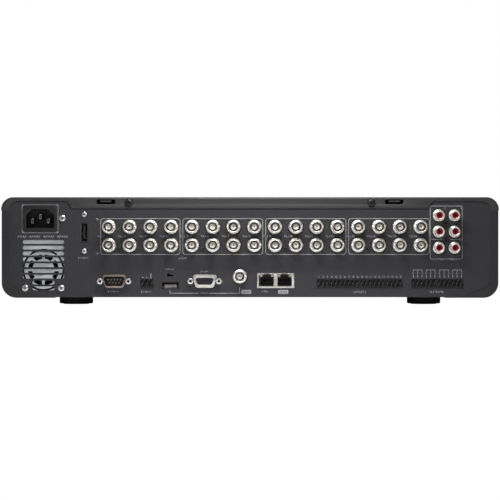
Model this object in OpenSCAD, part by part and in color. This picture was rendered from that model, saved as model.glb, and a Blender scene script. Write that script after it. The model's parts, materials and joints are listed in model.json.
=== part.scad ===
// Rack-width digital video recorder: 16 camera inputs with loop outputs on the rear,
// disc drive, keys and jog/shuttle wheel on the front.
// Origin: centre of the footprint, on the surface the feet stand on. +Z up, front faces -Y.

/* [Case] */
// Width over the top cover
body_w = 440; // [436:1:444]
// Depth from the bezel face to the rear flange
body_d = 400; // [396:1:420]
// Height of the case without its feet
body_h = 89; // [88:0.5:92]
// Height of the feet under the case
foot_h = 6.2; // [6:0.2:12]
// Thickness of the sheet steel
sheet = 1; // [0.8:0.1:1.2]
// Outer radius of the cover's two long corners
cover_r = 10.8; // [9:0.2:11]
// Outer radius of the base's two long corners
base_r = 13.2; // [12:0.2:14]

/* [Video jacks] */
// Columns of jacks, each an input above its loop output
jack_columns = 16; // [16:4:16]
// Distance between jack columns
jack_pitch = 18.35; // [18:0.05:18.4]
// Height of the loop output row above the case's underside
jack_row_low = 46.6; // [46:0.1:47]
// Height of the input row above the case's underside
jack_row_high = 62.7; // [62:0.1:63]
// Radius of the bayonet barrel
bayonet_r = 4.8; // [4.75:0.01:4.85]
// Reach of a jack beyond the rear panel
jack_reach = 13; // [12:0.5:14]

/* [Front controls] */
// Radius of the shuttle ring
shuttle_r = 31; // [28:1:32]
// Radius of the jog dial
jog_r = 21; // [18:1:22]
// Width of a key
key_w = 20; // [16:1:20]
// Height of a key
key_h = 9; // [7:0.5:10]
// Distance between keys
key_pitch = 24; // [23:0.5:24]

/* [Hidden] */
$fn = 48;

// Along the depth
rear_y = body_d / 2;                // outer face of the rear flanges
panel_y = rear_y - sheet;           // outer face of the rear panel
inside_y = panel_y - sheet;         // inner face of the rear panel
front_y = -body_d / 2;              // face of the bezel
bezel_d = 24;                       // depth of the bezel moulding
bezel_wall = 3;                     // thickness of the bezel's face
tub_y = front_y + bezel_d;          // front of the steel case
flange_y = front_y + bezel_wall;    // inner face of the bezel's front
key_gap = 0.3;                      // between a key and the bezel round it
jack_tip_y = panel_y + jack_reach;

// Across and up, measured from the case's underside
half_w = body_w / 2;
base_half_w = half_w - 0.5;
seam_z = body_h - 11.5;             // where the cover's sides end
floor_step = 0.6;                   // the middle of the floor is pressed up by this
floor_step_x = 173;                 // half width of the pressed area
rim_x = 213.2;                      // inner edge of the side flanges
lap_z = seam_z + 2;                 // top of the strip behind the cover's sides

// Power supply and its inlet
psu_x = 182.75;
psu_w = 42.4;
psu_z0 = 3.4;
psu_z1 = 84.4;
psu_d = 150;
psu_sheet = 0.8;
psu_y1 = inside_y - 0.2;            // outer face of the supply's rear wall
psu_y0 = psu_y1 - psu_d;
inlet_x = 185.6;
inlet_z = 70;
inlet_flange = [31, 24];
inlet_mouth = [24.7, 16.7];
inlet_chamfer = 5.3;
inlet_screw = [165.9, 70.5];
fan_z = 24.7;
fan_size = 40;
fan_d = 20;
fan_y1 = psu_y1 - psu_sheet;
fan_y0 = fan_y1 - fan_d;
fan_hole = 16;                      // fan screw holes, off the fan's axis
fan_bore_r = 18.9;
fan_hub_r = 10.5;
fan_shaft_r = 1.5;
running_gap = 0.05;

// Slots in the rear panel, in front of the fan
vent_x = 182.6;
vent_top_z = 49.4;
vent_pitch = 5.125;
vent_h = 3.5;
vent_long = 36.6;
vent_short = 19.7;

// Video jacks
jack_x0 = 124.7;                    // centre of the first column
jack_body_r = 6.7;
jack_hole_r = 6.9;
jack_bore_r = 4.05;
jack_core_r = 2.5;
jack_group = 4;                     // columns in one moulded block
main_out = [9, 19];
block_y1 = inside_y - 0.2;
block_y0 = block_y1 - 22;
group_screw_z = 42.8;
upper_board_z = 37.6;               // top of the video board

// Audio jacks
audio_x = [-166.9, -180.9];
audio_z = [44.3, 58.6, 72.9];
audio_body_r = 5.8;
audio_shell_r = 4.15;
audio_core_r = 2.9;
audio_pin_r = 1.5;
audio_reach = 10.5;
audio_rivets = [[-173.9, 66.3], [-173.9, 51.3]];

// Lower row of ports
lower_board_z = 8.2;                // top of the main board
board_t = 1.6;
serial = [119.9, 14.7];
monitor = [40, 14.8];
d_collar = [19, 11.6];              // root of both D-shaped shells, filling the panel's holes
jacknut_pitch = 25;
jacknut_bore_r = 1.1;
av_port = [70.3, 11.1];
av_lock_hole = [72, 20.2];
network = [-22.7, 15.3];
network_size = [32.8, 13.2];
network_gap = 15.7;                 // between the two sockets' centres
disk_port = [146.5, 57.7];
disk_port_size = [6.7, 16.8];
disk_screw_z = [41.3, 73.8];
pole_pitch = 3.81;
terminal_z = 12.6;
terminal_h = 7.6;
terminal_wall = 0.8;
// [centre, poles] of each terminal header, left to right seen from the rear
terminals = [[91.1, 3], [-78.05, 10], [-116.15, 10], [-153.9, 6], [-177.3, 6]];

// Side slots and the tapped holes for rack ears
side_vent_y = -70;
side_vent_z = [24, 42, 60];
side_vent = [3, 12];
side_vent_pitch = 7;
side_vent_columns = 14;
rack_hole_r = 1.7;
rack_y = [-156, -124];
rack_z = [24.5, 64.5];

// Cover flange and its fixings
flange_low_z = 79.1;
flange_high_z = 85.6;
flange_low_x = 157.2;
flange_high_x = 161.8;
hook_x = 127.4;
hook_z = 84.9;
cover_screw = [107.2, 84];

// Feet
foot_r = 15.1;
foot_x = 156.4;
foot_y = [-148, 160];
pad_t = 0.5;

// Front controls
tray_x = -132;
tray_z = 68;
tray_door = [136, 17];
tray_w = 128;
tray_l = 150;
tray_t = 6;
eject_at = [-76, 46];
usb_x = [-190, -170];
usb_z = 26;
window_x = 0;
window_z = 66;
window_size = [112, 22];
key_z = 30;
key_x0 = -60;
dial = [152, 44];
sleeve_r = 9;                       // the shuttle ring's sleeve
boss_r = 6.15;                      // encoder boss inside the sleeve
dial_shaft_r = 3;
power_at = [92, 66];
power_r = 8.5;
control_y = front_y + 16;           // front of the control board
control_x = [-82, 194];
control_z = [12, 82];
control_posts = [[-76, 17], [-59, 78], [188, 17], [188, 77]];
switch_h = 4.4;
key_travel = 1;
stem_y = control_y - switch_h - key_travel - 0.3;

// Drives
disc_w = 146;
disc_h = 41;
disc_y0 = tub_y + 4;
disc_d = 168;
disc_z0 = 41.5;
drive_size = [101.6, 147, 26.1];
drive_x = [12, 118];
drive_z = [8, 41];
drive_y0 = tub_y + 8;

// ---------- helpers ----------

// Extrudes an (x, z) outline from y0 to y1.
module along_y(y0, y1) {
    translate([0, y1, 0]) rotate([90, 0, 0]) linear_extrude(y1 - y0) children();
}

// A round bar along Y.
module bar(at, y0, y1, r) {
    translate([at[0], y1, at[1]]) rotate([90, 0, 0]) cylinder(r = r, h = y1 - y0);
}

// A box from its low corner to its high corner.
module block(low, high) {
    translate(low) cube(high - low);
}

// A rectangle about a point.
module rect(at, size) {
    translate([at[0] - size[0] / 2, at[1] - size[1] / 2]) square(size);
}

// A rectangle with round corners.
module round_rect(at, size, r) {
    rect(at, [size[0] - 2 * r, size[1]]);
    rect(at, [size[0], size[1] - 2 * r]);
    for (sx = [-1, 1], sz = [-1, 1])
        translate([at[0] + sx * (size[0] / 2 - r), at[1] + sz * (size[1] / 2 - r)]) circle(r = r);
}

// The case's cross-section.
module case_profile(hw, z0, z1, low_r, high_r) {
    translate([-hw, z0 + low_r]) square([2 * hw, z1 - high_r - z0 - low_r]);
    translate([low_r - hw, z0]) square([2 * (hw - low_r), low_r]);
    translate([high_r - hw, z1 - high_r]) square([2 * (hw - high_r), high_r]);
    for (s = [-1, 1]) {
        translate([s * (hw - low_r), z0 + low_r]) circle(r = low_r);
        translate([s * (hw - high_r), z1 - high_r]) circle(r = high_r);
    }
}

// Points of a quarter ellipse.
function quarter(cx, cz, rx, rz, a0, a1, n = 6) =
    [for (i = [0:n]) let (a = a0 + (a1 - a0) * i / n) [cx + rx * cos(a), cz + rz * sin(a)]];

function mirrored(points) = [for (i = [len(points) - 1:-1:0]) [-points[i][0], points[i][1]]];

// A D-shaped outline, wide side up, with round corners.
function d_points(w, h, r, slope = 10) = let (
    dx = h / 2 * tan(slope),
    right = concat(quarter(w / 2 - dx - r, -h / 2 + r, r, r, -90, -slope, 4),
                   quarter(w / 2 + dx - r, h / 2 - r, r, r, -slope, 90, 5)))
    concat(right, mirrored(right));

module d_shape(at, w, h, r) {
    translate(at) polygon(d_points(w, h, r));
}

// Slots through both side walls, from s = 1 on the +X side.
module side_slots(s) {
    x = s * (base_half_w - sheet / 2);
    for (c = [0:side_vent_columns - 1], z = side_vent_z)
        translate([x - 2, side_vent_y + c * side_vent_pitch, z]) cube([4, side_vent[0], side_vent[1]]);
}

function jack_x(i) = jack_x0 - i * jack_pitch;

// Where every bayonet jack stands: both rows, then the main output.
jack_spots = concat(
    [for (i = [0:jack_columns - 1]) [jack_x(i), jack_row_low]],
    [for (i = [0:jack_columns - 1]) [jack_x(i), jack_row_high]],
    [main_out]);
audio_spots = [for (x = audio_x, z = audio_z) [x, z]];
group_count = jack_columns / jack_group;
function group_x(g) = jack_x(g * jack_group + (jack_group - 1) / 2);
group_screws = [for (g = [0:group_count - 1]) [jack_x(g * jack_group + 0.5), group_screw_z]];
fan_screws = [[psu_x + fan_hole, fan_z - fan_hole], [psu_x - fan_hole, fan_z - fan_hole]];
disk_screws = [for (z = disk_screw_z) [disk_port[0], z]];

// The opening that the cover's and the base's rear flanges leave.
flange_opening = let (right = concat([[rim_x, 17.6]], [[rim_x, 79]],
    quarter(rim_x - 11, 79, 11, flange_high_z - 79, 15, 90, 5),
    [[flange_high_x, flange_high_z], [flange_low_x, flange_low_z]]))
    concat(right, mirrored(right));
corner_opening = let (right = concat([[190, -1]], [[191.5, 2]],
    quarter(rim_x - 14, 17.6, 14, 11, -75, 0, 6), [[rim_x, seam_z + 5]]))
    concat(right, mirrored(right));

// ---------- case ----------

module base_wall_2d() {
    difference() {
        case_profile(base_half_w, 0, body_h, base_r, cover_r);
        case_profile(base_half_w - sheet, sheet, body_h - sheet, base_r - sheet, cover_r - sheet);
        translate([-half_w, seam_z]) square([body_w, body_h]);
        translate([-floor_step_x, -1]) square([2 * floor_step_x, 1 + floor_step]);
    }
    translate([-floor_step_x, floor_step]) square([2 * floor_step_x, sheet]);
}

module chassis_base() color("#2b2b2d") {
    difference() {
        union() {
            along_y(tub_y, inside_y) base_wall_2d();
            for (s = [-1, 1])
                along_y(tub_y, inside_y) rect([s * (base_half_w - 1.5 * sheet), lap_z - 4], [sheet, 8]);
            // the sides and their corners run on past the floor, to the inward flanges
            along_y(inside_y, rear_y) difference() {
                base_wall_2d();
                translate([-190, -1]) square([380, body_h]);
            }
            along_y(panel_y, rear_y) difference() {
                intersection() {
                    case_profile(base_half_w, 0, body_h, base_r, cover_r);
                    translate([-half_w, -1]) square([body_w, seam_z + 1]);
                }
                polygon(corner_opening);
            }
            // front wall behind the bezel
            along_y(tub_y, tub_y + sheet) difference() {
                intersection() {
                    case_profile(base_half_w - sheet, sheet, body_h - sheet, base_r - sheet, cover_r);
                    translate([-half_w, 0]) square([body_w, seam_z]);
                }
                rect([tray_x, 61], [disc_w + 4, 40]);
                rect([window_x + 22, 40], [150, 60]);
                rect(dial, [60, 60]);
                rect([-180, usb_z], [44, 14]);
            }
        }
        for (x = [-foot_x, foot_x], y = foot_y)
            translate([x, y, -1]) cylinder(r = 2.1, h = 4);
        // four tapped holes on each side for rack ears
        for (s = [-1, 1], y = rack_y, z = rack_z)
            translate([s * base_half_w - 3, y, z]) rotate([0, 90, 0]) cylinder(r = rack_hole_r, h = 6);
        for (s = [-1, 1]) side_slots(s);
    }
}

module cover_2d() {
    intersection() {
        case_profile(half_w, 0, body_h, base_r, cover_r);
        translate([-half_w, seam_z]) square([body_w, body_h]);
    }
}

module top_cover() color("#3a3a3c") {
    difference() {
        along_y(tub_y, rear_y) cover_2d();
        along_y(tub_y - 1, panel_y)
            case_profile(half_w - sheet, -1, body_h - sheet, base_r, cover_r - sheet);
        along_y(panel_y - 1, rear_y + 1) polygon(flange_opening);
        for (s = [-1, 1]) {
            along_y(panel_y - 1, rear_y + 1) round_rect([s * hook_x, hook_z], [16.4, 4.4], 1.5);
            bar([s * cover_screw[0], cover_screw[1]], panel_y - 1, rear_y + 1, 1.9);
        }
    }
}

// Header outlines that show through the rear panel.
function terminal_w(poles) = poles * pole_pitch - 0.16;

module panel_openings_2d() {
    rect([inlet_x, inlet_z], inlet_flange + [1.6, 1.6]);
    for (i = [0:8]) {
        len = i < 7 ? vent_long : vent_short;
        round_rect([vent_x, vent_top_z - i * vent_pitch], [len, vent_h], vent_h / 2 - 0.01);
    }
    for (p = jack_spots) translate(p) circle(r = jack_hole_r);
    for (p = audio_spots) translate(p) circle(r = audio_body_r + 0.15);
    for (p = concat(group_screws, audio_rivets)) translate(p) circle(r = 1.3);
    for (p = concat(fan_screws, [inlet_screw])) translate(p) circle(r = 1.9);
    for (p = disk_screws) translate(p) circle(r = 1.6);
    // keyhole for the latch of the plug below it
    translate(av_lock_hole) circle(r = 1.4);
    rect(av_lock_hole - [2, 0.3], [4, 1.4]);
    for (p = [serial, monitor]) {
        d_shape(p, d_collar[0] + 0.4, d_collar[1] + 0.4, 2.8);
        for (s = [-1, 1]) translate([p[0] + s * jacknut_pitch / 2, p[1]]) circle(r = 1.6);
    }
    rect(av_port, [15.4, 6]);
    rect(network, network_size + [0.4, 0.4]);
    rect(disk_port, disk_port_size + [0.4, 0.4]);
    for (t = terminals) rect([t[0], terminal_z], [terminal_w(t[1]) + 0.3, terminal_h + 0.4]);
    for (s = [-1, 1]) translate([s * cover_screw[0], cover_screw[1]]) circle(r = 1.3);
    // openings behind the cover's slots, each with the root of its hook
    for (s = [-1, 1]) difference() {
        round_rect([s * hook_x, hook_z], [15.8, 3.8], 1.2);
        rect([s * hook_x, hook_z + 0.9], [10, 2.2]);
    }
}

module rear_panel() color("#303032") {
    along_y(inside_y, panel_y) difference() {
        union() {
            case_profile(base_half_w - sheet - 0.3, sheet + 0.3, body_h - sheet - 0.5,
                         base_r - sheet, cover_r - sheet);
            translate([-189.5, 0]) square([379, 4]);
        }
        translate([-floor_step_x, -1]) square([2 * floor_step_x, 1 + floor_step]);
        panel_openings_2d();
    }
    // hooks that stand in the cover's slots
    for (s = [-1, 1])
        block([s * hook_x - 5, panel_y, hook_z - 0.2], [s * hook_x + 5, rear_y + 0.4, hook_z + 0.9]);
}

module feet() color("#161616") {
    for (x = [-foot_x, foot_x], y = foot_y) translate([x, y, -foot_h]) difference() {
        union() {
            translate([0, 0, pad_t]) cylinder(r1 = foot_r - 0.6, r2 = foot_r, h = 1);
            translate([0, 0, pad_t + 1]) cylinder(r = foot_r, h = foot_h + floor_step - pad_t - 1);
        }
        translate([0, 0, pad_t]) cylinder(r = foot_r - 3.5, h = 1.2);
        cylinder(r = 2.1, h = foot_h + 2);
        translate([0, 0, pad_t]) cylinder(r = 4.5, h = 3.4);
    }
}

module foot_pads() color("#0c0c0c") {
    for (x = [-foot_x, foot_x], y = foot_y) translate([x, y, -foot_h]) difference() {
        cylinder(r = foot_r - 3.6, h = pad_t + 1.1);
        translate([0, 0, -1]) cylinder(r = 5, h = 5);
    }
}

// A pan-head screw along Y with a cross recess; its head's underside is at y.
module pan_screw(at, y, head_r, head_h, shank_r, shank_l) {
    difference() {
        union() {
            bar(at, y, y + head_h * 0.55, head_r);
            translate([at[0], y + head_h * 0.55, at[1]]) rotate([-90, 0, 0])
                cylinder(r1 = head_r, r2 = head_r * 0.7, h = head_h * 0.45);
            bar(at, y - shank_l, y, shank_r);
        }
        for (s = [[0.22, 1.1], [1.1, 0.22]])
            translate([at[0], y + head_h, at[1]])
                cube([head_r * s[0], head_h * 1.1, head_r * s[1]], center = true);
    }
}

module cover_screws() color("#1b1b1c") {
    for (s = [-1, 1])
        pan_screw([s * cover_screw[0], cover_screw[1]], rear_y, 3.5, 1.8, 1.25, 6);
}

module panel_screws() color("#141414") {
    for (p = concat(group_screws, audio_rivets)) pan_screw(p, panel_y, 2, 1.1, 1.2, 6);
}

module rear_screws() color("#c9c6bf") {
    for (p = concat(fan_screws, [inlet_screw])) pan_screw(p, panel_y, 3.1, 2, 1.5, 6);
    for (p = disk_screws) pan_screw(p, panel_y, 2.4, 1.6, 1.4, 5);
}

// ---------- power supply ----------

module psu_case() color("#c8c8c6") {
    x0 = psu_x - psu_w / 2;
    x1 = psu_x + psu_w / 2;
    difference() {
        block([x0 + psu_sheet, psu_y0, psu_z0], [x1, psu_y1, psu_z1]);
        block([x0 - 1, psu_y0 + psu_sheet, psu_z0 + psu_sheet],
              [x1 - psu_sheet, psu_y1 - psu_sheet, psu_z1 - psu_sheet]);
        along_y(psu_y1 - 2, psu_y1 + 1) {
            rect([inlet_x, inlet_z], [28, 20]);
            fan_grille_2d();
        }
        for (p = fan_screws) bar(p, psu_y1 - 2, psu_y1 + 1, 1.9);
        bar(inlet_screw, psu_y1 - 2, psu_y1 + 1, 1.52);
        for (i = [0:5])
            block([psu_x - 14, psu_y0 - 1, 38 + i * 7], [psu_x + 14, psu_y0 + 1.5, 41 + i * 7]);
    }
}

// Punched finger guard: an outer ring in four arcs and eight openings round the hub.
module fan_grille_2d() {
    translate([psu_x, fan_z]) {
        difference() {
            circle(r = 18.6);
            circle(r = 16.9);
            for (a = [45, 135]) rotate(a) rect([0, 0], [40, 2.4]);
        }
        difference() {
            circle(r = 13.7);
            circle(r = 9.8);
            for (a = [0:45:135]) rotate(a) rect([0, 0], [30, 2.2]);
        }
    }
}

module psu_lid() color("#bdbdbb") {
    x0 = psu_x - psu_w / 2;
    block([x0, psu_y0, psu_z0], [x0 + psu_sheet, psu_y1, psu_z1]);
}

module inlet_mouth_2d(grow = 0) {
    w = inlet_mouth[0] / 2 + grow;
    h = inlet_mouth[1] / 2 + grow;
    c = inlet_chamfer + grow * 0.4;
    translate([inlet_x, inlet_z])
        polygon([[-w, -h], [w, -h], [w, h - c], [w - c, h], [c - w, h], [-w, h - c]]);
}

module power_inlet() color("#111111") {
    inlet_back = psu_y1 - 19;
    difference() {
        union() {
            along_y(psu_y1, panel_y + 0.5) round_rect([inlet_x, inlet_z], inlet_flange, 2.4);
            along_y(inlet_back, psu_y1) rect([inlet_x, inlet_z], [27.6, 19.6]);
        }
        along_y(inlet_back + 2.5, panel_y + 2) inlet_mouth_2d();
        inlet_contacts();
    }
}

// Line, neutral and earth: flat pins with solder tails.
module inlet_contacts() {
    for (p = [[-7, -2], [7, -2], [0, 2]])
        block([inlet_x + p[0] - 1, psu_y1 - 27, inlet_z + p[1] - 2],
              [inlet_x + p[0] + 1, panel_y - 2.5, inlet_z + p[1] + 2]);
}

module inlet_blades() color("#d6d2c8") {
    inlet_contacts();
}

module psu_fan_frame() color("#1a1a1a") {
    difference() {
        along_y(fan_y0, fan_y1) round_rect([psu_x, fan_z], [fan_size, fan_size], 3);
        bar([psu_x, fan_z], fan_y0 - 1, fan_y1 + 1, fan_bore_r);
        for (sx = [-1, 1], sz = [-1, 1])
            bar([psu_x + sx * fan_hole, fan_z + sz * fan_hole], fan_y0 - 1, fan_y1 + 1, 1.6);
    }
    difference() {
        union() {
            bar([psu_x, fan_z], fan_y0, fan_y0 + 2.5, fan_hub_r);
            for (a = [30:120:270]) translate([psu_x, 0, fan_z]) rotate([0, a, 0])
                block([0, fan_y0, -1], [fan_bore_r + 0.6, fan_y0 + 2, 1]);
            bar([psu_x, fan_z], fan_y0, fan_y0 + 12, 3.2);
        }
        bar([psu_x, fan_z], fan_y0 - 1, fan_y0 + 13, fan_shaft_r + running_gap);
    }
}

module psu_fan_rotor() color("#242424") {
    blades = 7;
    tip_r = fan_bore_r - 0.7;
    y0 = fan_y0 + 3;
    y1 = fan_y1 - 1;
    difference() {
        bar([psu_x, fan_z], y0, y1, fan_hub_r);
        bar([psu_x, fan_z], y0 - 1, fan_y0 + 12.5, 6);
    }
    bar([psu_x, fan_z], fan_y0 + 1, fan_y0 + 13, fan_shaft_r);
    for (i = [0:blades - 1]) intersection() {
        bar([psu_x, fan_z], y0 + 1, y1 - 1, tip_r);
        translate([psu_x, (y0 + y1) / 2, fan_z]) rotate([0, i * 360 / blades, 0])
            rotate([38, 0, 0]) block([fan_hub_r - 1.5, -12, -0.6], [tip_r + 1, 12, 0.6]);
    }
}

module psu_board() color("#6a5a2a") {
    block([psu_x + psu_w / 2 - psu_sheet - 4.6, psu_y0 + 4, psu_z0 + 4],
          [psu_x + psu_w / 2 - psu_sheet - 3, fan_y0 - 6, psu_z1 - 4]);
}

module psu_parts() color("#8a7a3a") {
    x1 = psu_x + psu_w / 2 - psu_sheet - 4.6;
    // transformer, storage capacitors and two finned coolers, all standing on the board
    block([x1 - 26, psu_y0 + 50, 24], [x1, psu_y0 + 80, 56]);
    for (z = [20, 44]) translate([x1 - 30, psu_y0 + 104, z]) rotate([0, 90, 0]) cylinder(r = 9, h = 30);
    for (z = [12, 68]) {
        block([x1 - 28, psu_y0 + 12, z], [x1, psu_y0 + 90, z + 2]);
        for (i = [0:7]) block([x1 - 28, psu_y0 + 12 + i * 11, z + 2], [x1 - 6, psu_y0 + 13 + i * 11, z + 7]);
    }
}

// Points of the supply's output lead, from its front wall down to the main board.
harness_path = [[176, psu_y0, 30], [176, 41, 30], [175, 34, 29], [172, 29, 26], [167, 27, 22], [160, 28, 18],
                [153, 32, 15.5], [146, 40, 14.5], [142, 50, 14.5], [140, 60, 14.5], [138.5, 70, 14.5],
                [138, 78, 14.5]];
harness_r = 3.4;

function unit(v) = v / norm(v);
function tangent(p, i) = unit(p[min(i + 1, len(p) - 1)] - p[max(i - 1, 0)]);

// Sweeps a many-sided section along points that never run straight up.
module swept_tube(p, r, sides = 8) {
    n = len(p);
    ring = [for (i = [0:n - 1]) let (t = tangent(p, i), u = unit(cross(t, [0, 0, 1])), v = cross(u, t))
        for (k = [0:sides - 1]) p[i] + r * (cos(k * 360 / sides) * u + sin(k * 360 / sides) * v)];
    faces = concat([[for (k = [sides - 1:-1:0]) k]],
        [for (i = [0:n - 2], k = [0:sides - 1]) let (a = i * sides, b = a + sides, m = (k + 1) % sides)
            [a + k, a + m, b + m, b + k]],
        [[for (k = [0:sides - 1]) (n - 1) * sides + k]]);
    polyhedron(ring, faces);
}

module psu_harness() color("#202020") {
    swept_tube(harness_path, harness_r);
    // plug on the main board
    block([131, 78, lower_board_z], [145, 92, 20]);
}

// ---------- boards ----------

module main_board() color("#1f4d33") {
    block([-208, 20, lower_board_z - board_t], [156, inside_y - 1.2, lower_board_z]);
    block([-60, 60, lower_board_z], [-30, 90, lower_board_z + 2]);
    for (x = [-10:16:54]) block([x, 62, lower_board_z], [x + 11, 82, lower_board_z + 1.4]);
    block([60, 40, lower_board_z], [100, 48, lower_board_z + 9]);
}

module video_board() color("#1f4d33") {
    block([-190, 110, upper_board_z - board_t], [139, inside_y - 1.2, upper_board_z]);
    for (g = [0:group_count - 1])
        block([group_x(g) - 10, 125, upper_board_z], [group_x(g) + 10, 145, upper_board_z + 1.6]);
}

module board_standoffs() color("#b89b4a") {
    for (x = [-200, -20, 148], y = [28, 105])
        translate([x, y, floor_step + sheet]) cylinder(r = 3, h = lower_board_z - board_t - floor_step - sheet);
    for (x = [-184, -20, 133], y = [116, 172])
        translate([x, y, lower_board_z]) cylinder(r = 2.5, h = upper_board_z - board_t - lower_board_z);
}

module processor_heatsink() color("#9a9a9c") {
    block([-64, 56, lower_board_z + 2], [-26, 94, lower_board_z + 5]);
    for (i = [0:9]) block([-64 + i * 4, 56, lower_board_z + 5], [-62.6 + i * 4, 94, lower_board_z + 19]);
}

// ---------- video jacks ----------

module video_jack_blocks() color("#101010") {
    for (g = [0:group_count - 1]) difference() {
        block([group_x(g) - 2 * jack_pitch + 0.5, block_y0, upper_board_z],
              [group_x(g) + 2 * jack_pitch - 0.5, block_y1, jack_row_high + 8.6]);
        for (i = [0:jack_group - 1], z = [jack_row_low, jack_row_high])
            bar([jack_x(g * jack_group + i), z], block_y1 - 8, block_y1 + 1, jack_body_r + 0.05);
        for (i = [0:jack_group - 1], z = [jack_row_low, jack_row_high])
            bar([jack_x(g * jack_group + i), z], block_y1 - 12, block_y1, jack_core_r);
        bar(group_screws[g], block_y1 - 8, block_y1 + 1, 1.25);
    }
    // the main output stands alone on the lower board
    difference() {
        block([main_out[0] - 8, block_y0, lower_board_z], [main_out[0] + 8, block_y1, main_out[1] + 8.4]);
        bar(main_out, block_y1 - 8, block_y1 + 1, jack_body_r + 0.05);
        bar(main_out, block_y1 - 12, block_y1, jack_core_r);
    }
}

// Turned shell: round body through the panel, a shoulder, then the bayonet barrel and its lugs.
module jack_shell(at) {
    back = block_y1 - 8;
    face = panel_y + 2.6;
    difference() {
        union() {
            bar(at, back, face - 0.6, jack_body_r);
            translate([at[0], face - 0.6, at[1]]) rotate([-90, 0, 0])
                cylinder(r1 = jack_body_r, r2 = jack_body_r - 0.6, h = 0.6);
            translate([at[0], face, at[1]]) rotate([-90, 0, 0])
                cylinder(r1 = 5.7, r2 = bayonet_r - 0.4, h = 1.2);
            bar(at, face, jack_tip_y - 4.2, bayonet_r - 0.4);
            bar(at, jack_tip_y - 4.2, jack_tip_y - 0.4, bayonet_r);
            translate([at[0], jack_tip_y - 0.4, at[1]]) rotate([-90, 0, 0])
                cylinder(r1 = bayonet_r, r2 = bayonet_r - 0.3, h = 0.4);
            for (s = [-1, 1]) translate([at[0], jack_tip_y - 5.4, at[1]]) rotate([0, s * 90, 0])
                cylinder(r = 1, h = 5.5);
        }
        bar(at, jack_tip_y - 8.5, jack_tip_y + 1, jack_bore_r);
        bar(at, back - 1, jack_tip_y, jack_core_r);
    }
}

module video_jack_shells() color("#cdc8bd") {
    for (p = jack_spots) jack_shell(p);
}

module video_jack_insulators() color("#e9e4d8") {
    for (p = jack_spots) difference() {
        bar(p, block_y1 - 12, jack_tip_y - 2.6, jack_core_r);
        bar(p, block_y1 - 13, jack_tip_y + 1, 1.1);
    }
}

module video_jack_contacts() color("#c9a24b") {
    for (p = jack_spots) difference() {
        bar(p, block_y1 - 12, jack_tip_y - 3.2, 1.1);
        bar(p, jack_tip_y - 8, jack_tip_y, 0.7);
    }
}

// ---------- audio jacks ----------

module audio_jack_block() color("#101010") {
    difference() {
        block([audio_x[1] - 7.4, block_y0 + 6, upper_board_z], [audio_x[0] + 7, block_y1, 80.6]);
        for (p = audio_spots) {
            bar(p, block_y1 - 5, block_y1 + 1, audio_body_r + 0.05);
            bar(p, block_y1 - 8, block_y1, audio_core_r);
        }
        for (p = audio_rivets) bar(p, block_y1 - 8, block_y1 + 1, 1.25);
    }
}

module audio_jack_shells() color("#cfc6c2") {
    tip = panel_y + audio_reach;
    for (p = audio_spots) difference() {
        union() {
            bar(p, block_y1 - 5, panel_y + 1.2, audio_body_r);
            bar(p, panel_y + 1.2, tip, audio_shell_r);
        }
        bar(p, block_y1 - 6, tip + 1, audio_core_r);
    }
}

module audio_jack_inserts() color("#8c1018") {
    tip = panel_y + audio_reach - 0.7;
    for (p = audio_spots) difference() {
        bar(p, block_y1 - 8, tip, audio_core_r);
        bar(p, tip - 9, tip + 1, audio_pin_r);
    }
}

// ---------- lower ports ----------

module d_port_shell(at, reach, w, h, inner) {
    difference() {
        union() {
            along_y(inside_y - 1.4, inside_y - 0.2) rect(at, [30.8, 12.5]);
            along_y(inside_y - 0.2, panel_y + 0.7) d_shape(at, d_collar[0], d_collar[1], 2.6);
            along_y(inside_y - 0.2, panel_y + reach) d_shape(at, w, h, 2.2);
        }
        along_y(inside_y - 2, panel_y + reach + 1) d_shape(at, inner[0], inner[1], 1.8);
        for (s = [-1, 1]) bar([at[0] + s * jacknut_pitch / 2, at[1]], inside_y - 2, panel_y, 1.52);
    }
}

module serial_port_shell() color("#b9ac98") {
    d_port_shell(serial, 5.9, 17.8, 9.3, [16.9, 8.4]);
}

module serial_port_pins() color("#2a2420") {
    along_y(inside_y - 11, inside_y - 0.8) d_shape(serial, 16.88, 8.38, 1.8);
    for (i = [0:4]) bar([serial[0] + (i - 2) * 2.77, serial[1] + 1.42], inside_y - 1, panel_y + 4.6, 0.5);
    for (i = [0:3]) bar([serial[0] + (i - 1.5) * 2.77, serial[1] - 1.42], inside_y - 1, panel_y + 4.6, 0.5);
    block([serial[0] - 15, inside_y - 11, lower_board_z], [serial[0] + 15, inside_y - 1.4, serial[1] - 4.1]);
}

module monitor_port_shell() color("#d9d9dc") {
    d_port_shell(monitor, 5.9, 16.4, 8.4, [14.6, 6]);
}

module monitor_port_insert() color("#14141c") {
    difference() {
        union() {
            along_y(inside_y - 11, panel_y + 5) d_shape(monitor, 14.58, 5.98, 1.8);
            block([monitor[0] - 15, inside_y - 11, lower_board_z],
                  [monitor[0] + 15, inside_y - 1.4, monitor[1] - 2.6]);
        }
        for (row = [-1:1], i = [0:4])
            bar([monitor[0] + (i - 2) * 2.29 + row * 0.57, monitor[1] + row * 1.98],
                panel_y - 2, panel_y + 6, 0.55);
    }
}

module port_jacknuts() color("#d8d4cc") {
    for (p = [serial, monitor], s = [-1, 1]) {
        at = [p[0] + s * jacknut_pitch / 2, p[1]];
        difference() {
            union() {
                bar(at, inside_y - 4, panel_y, 1.5);
                translate([at[0], panel_y + 5, at[1]]) rotate([90, 0, 0]) cylinder(r = 2.85, h = 5, $fn = 6);
            }
            bar(at, panel_y - 2, panel_y + 6, jacknut_bore_r);
        }
    }
}

// Flat port outline: chamfered lower corners.
module av_outline(w, h, c) {
    translate(av_port) polygon([[-w / 2, h / 2], [-w / 2, c - h / 2], [c - w / 2, -h / 2],
        [w / 2 - c, -h / 2], [w / 2, c - h / 2], [w / 2, h / 2]]);
}

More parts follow.
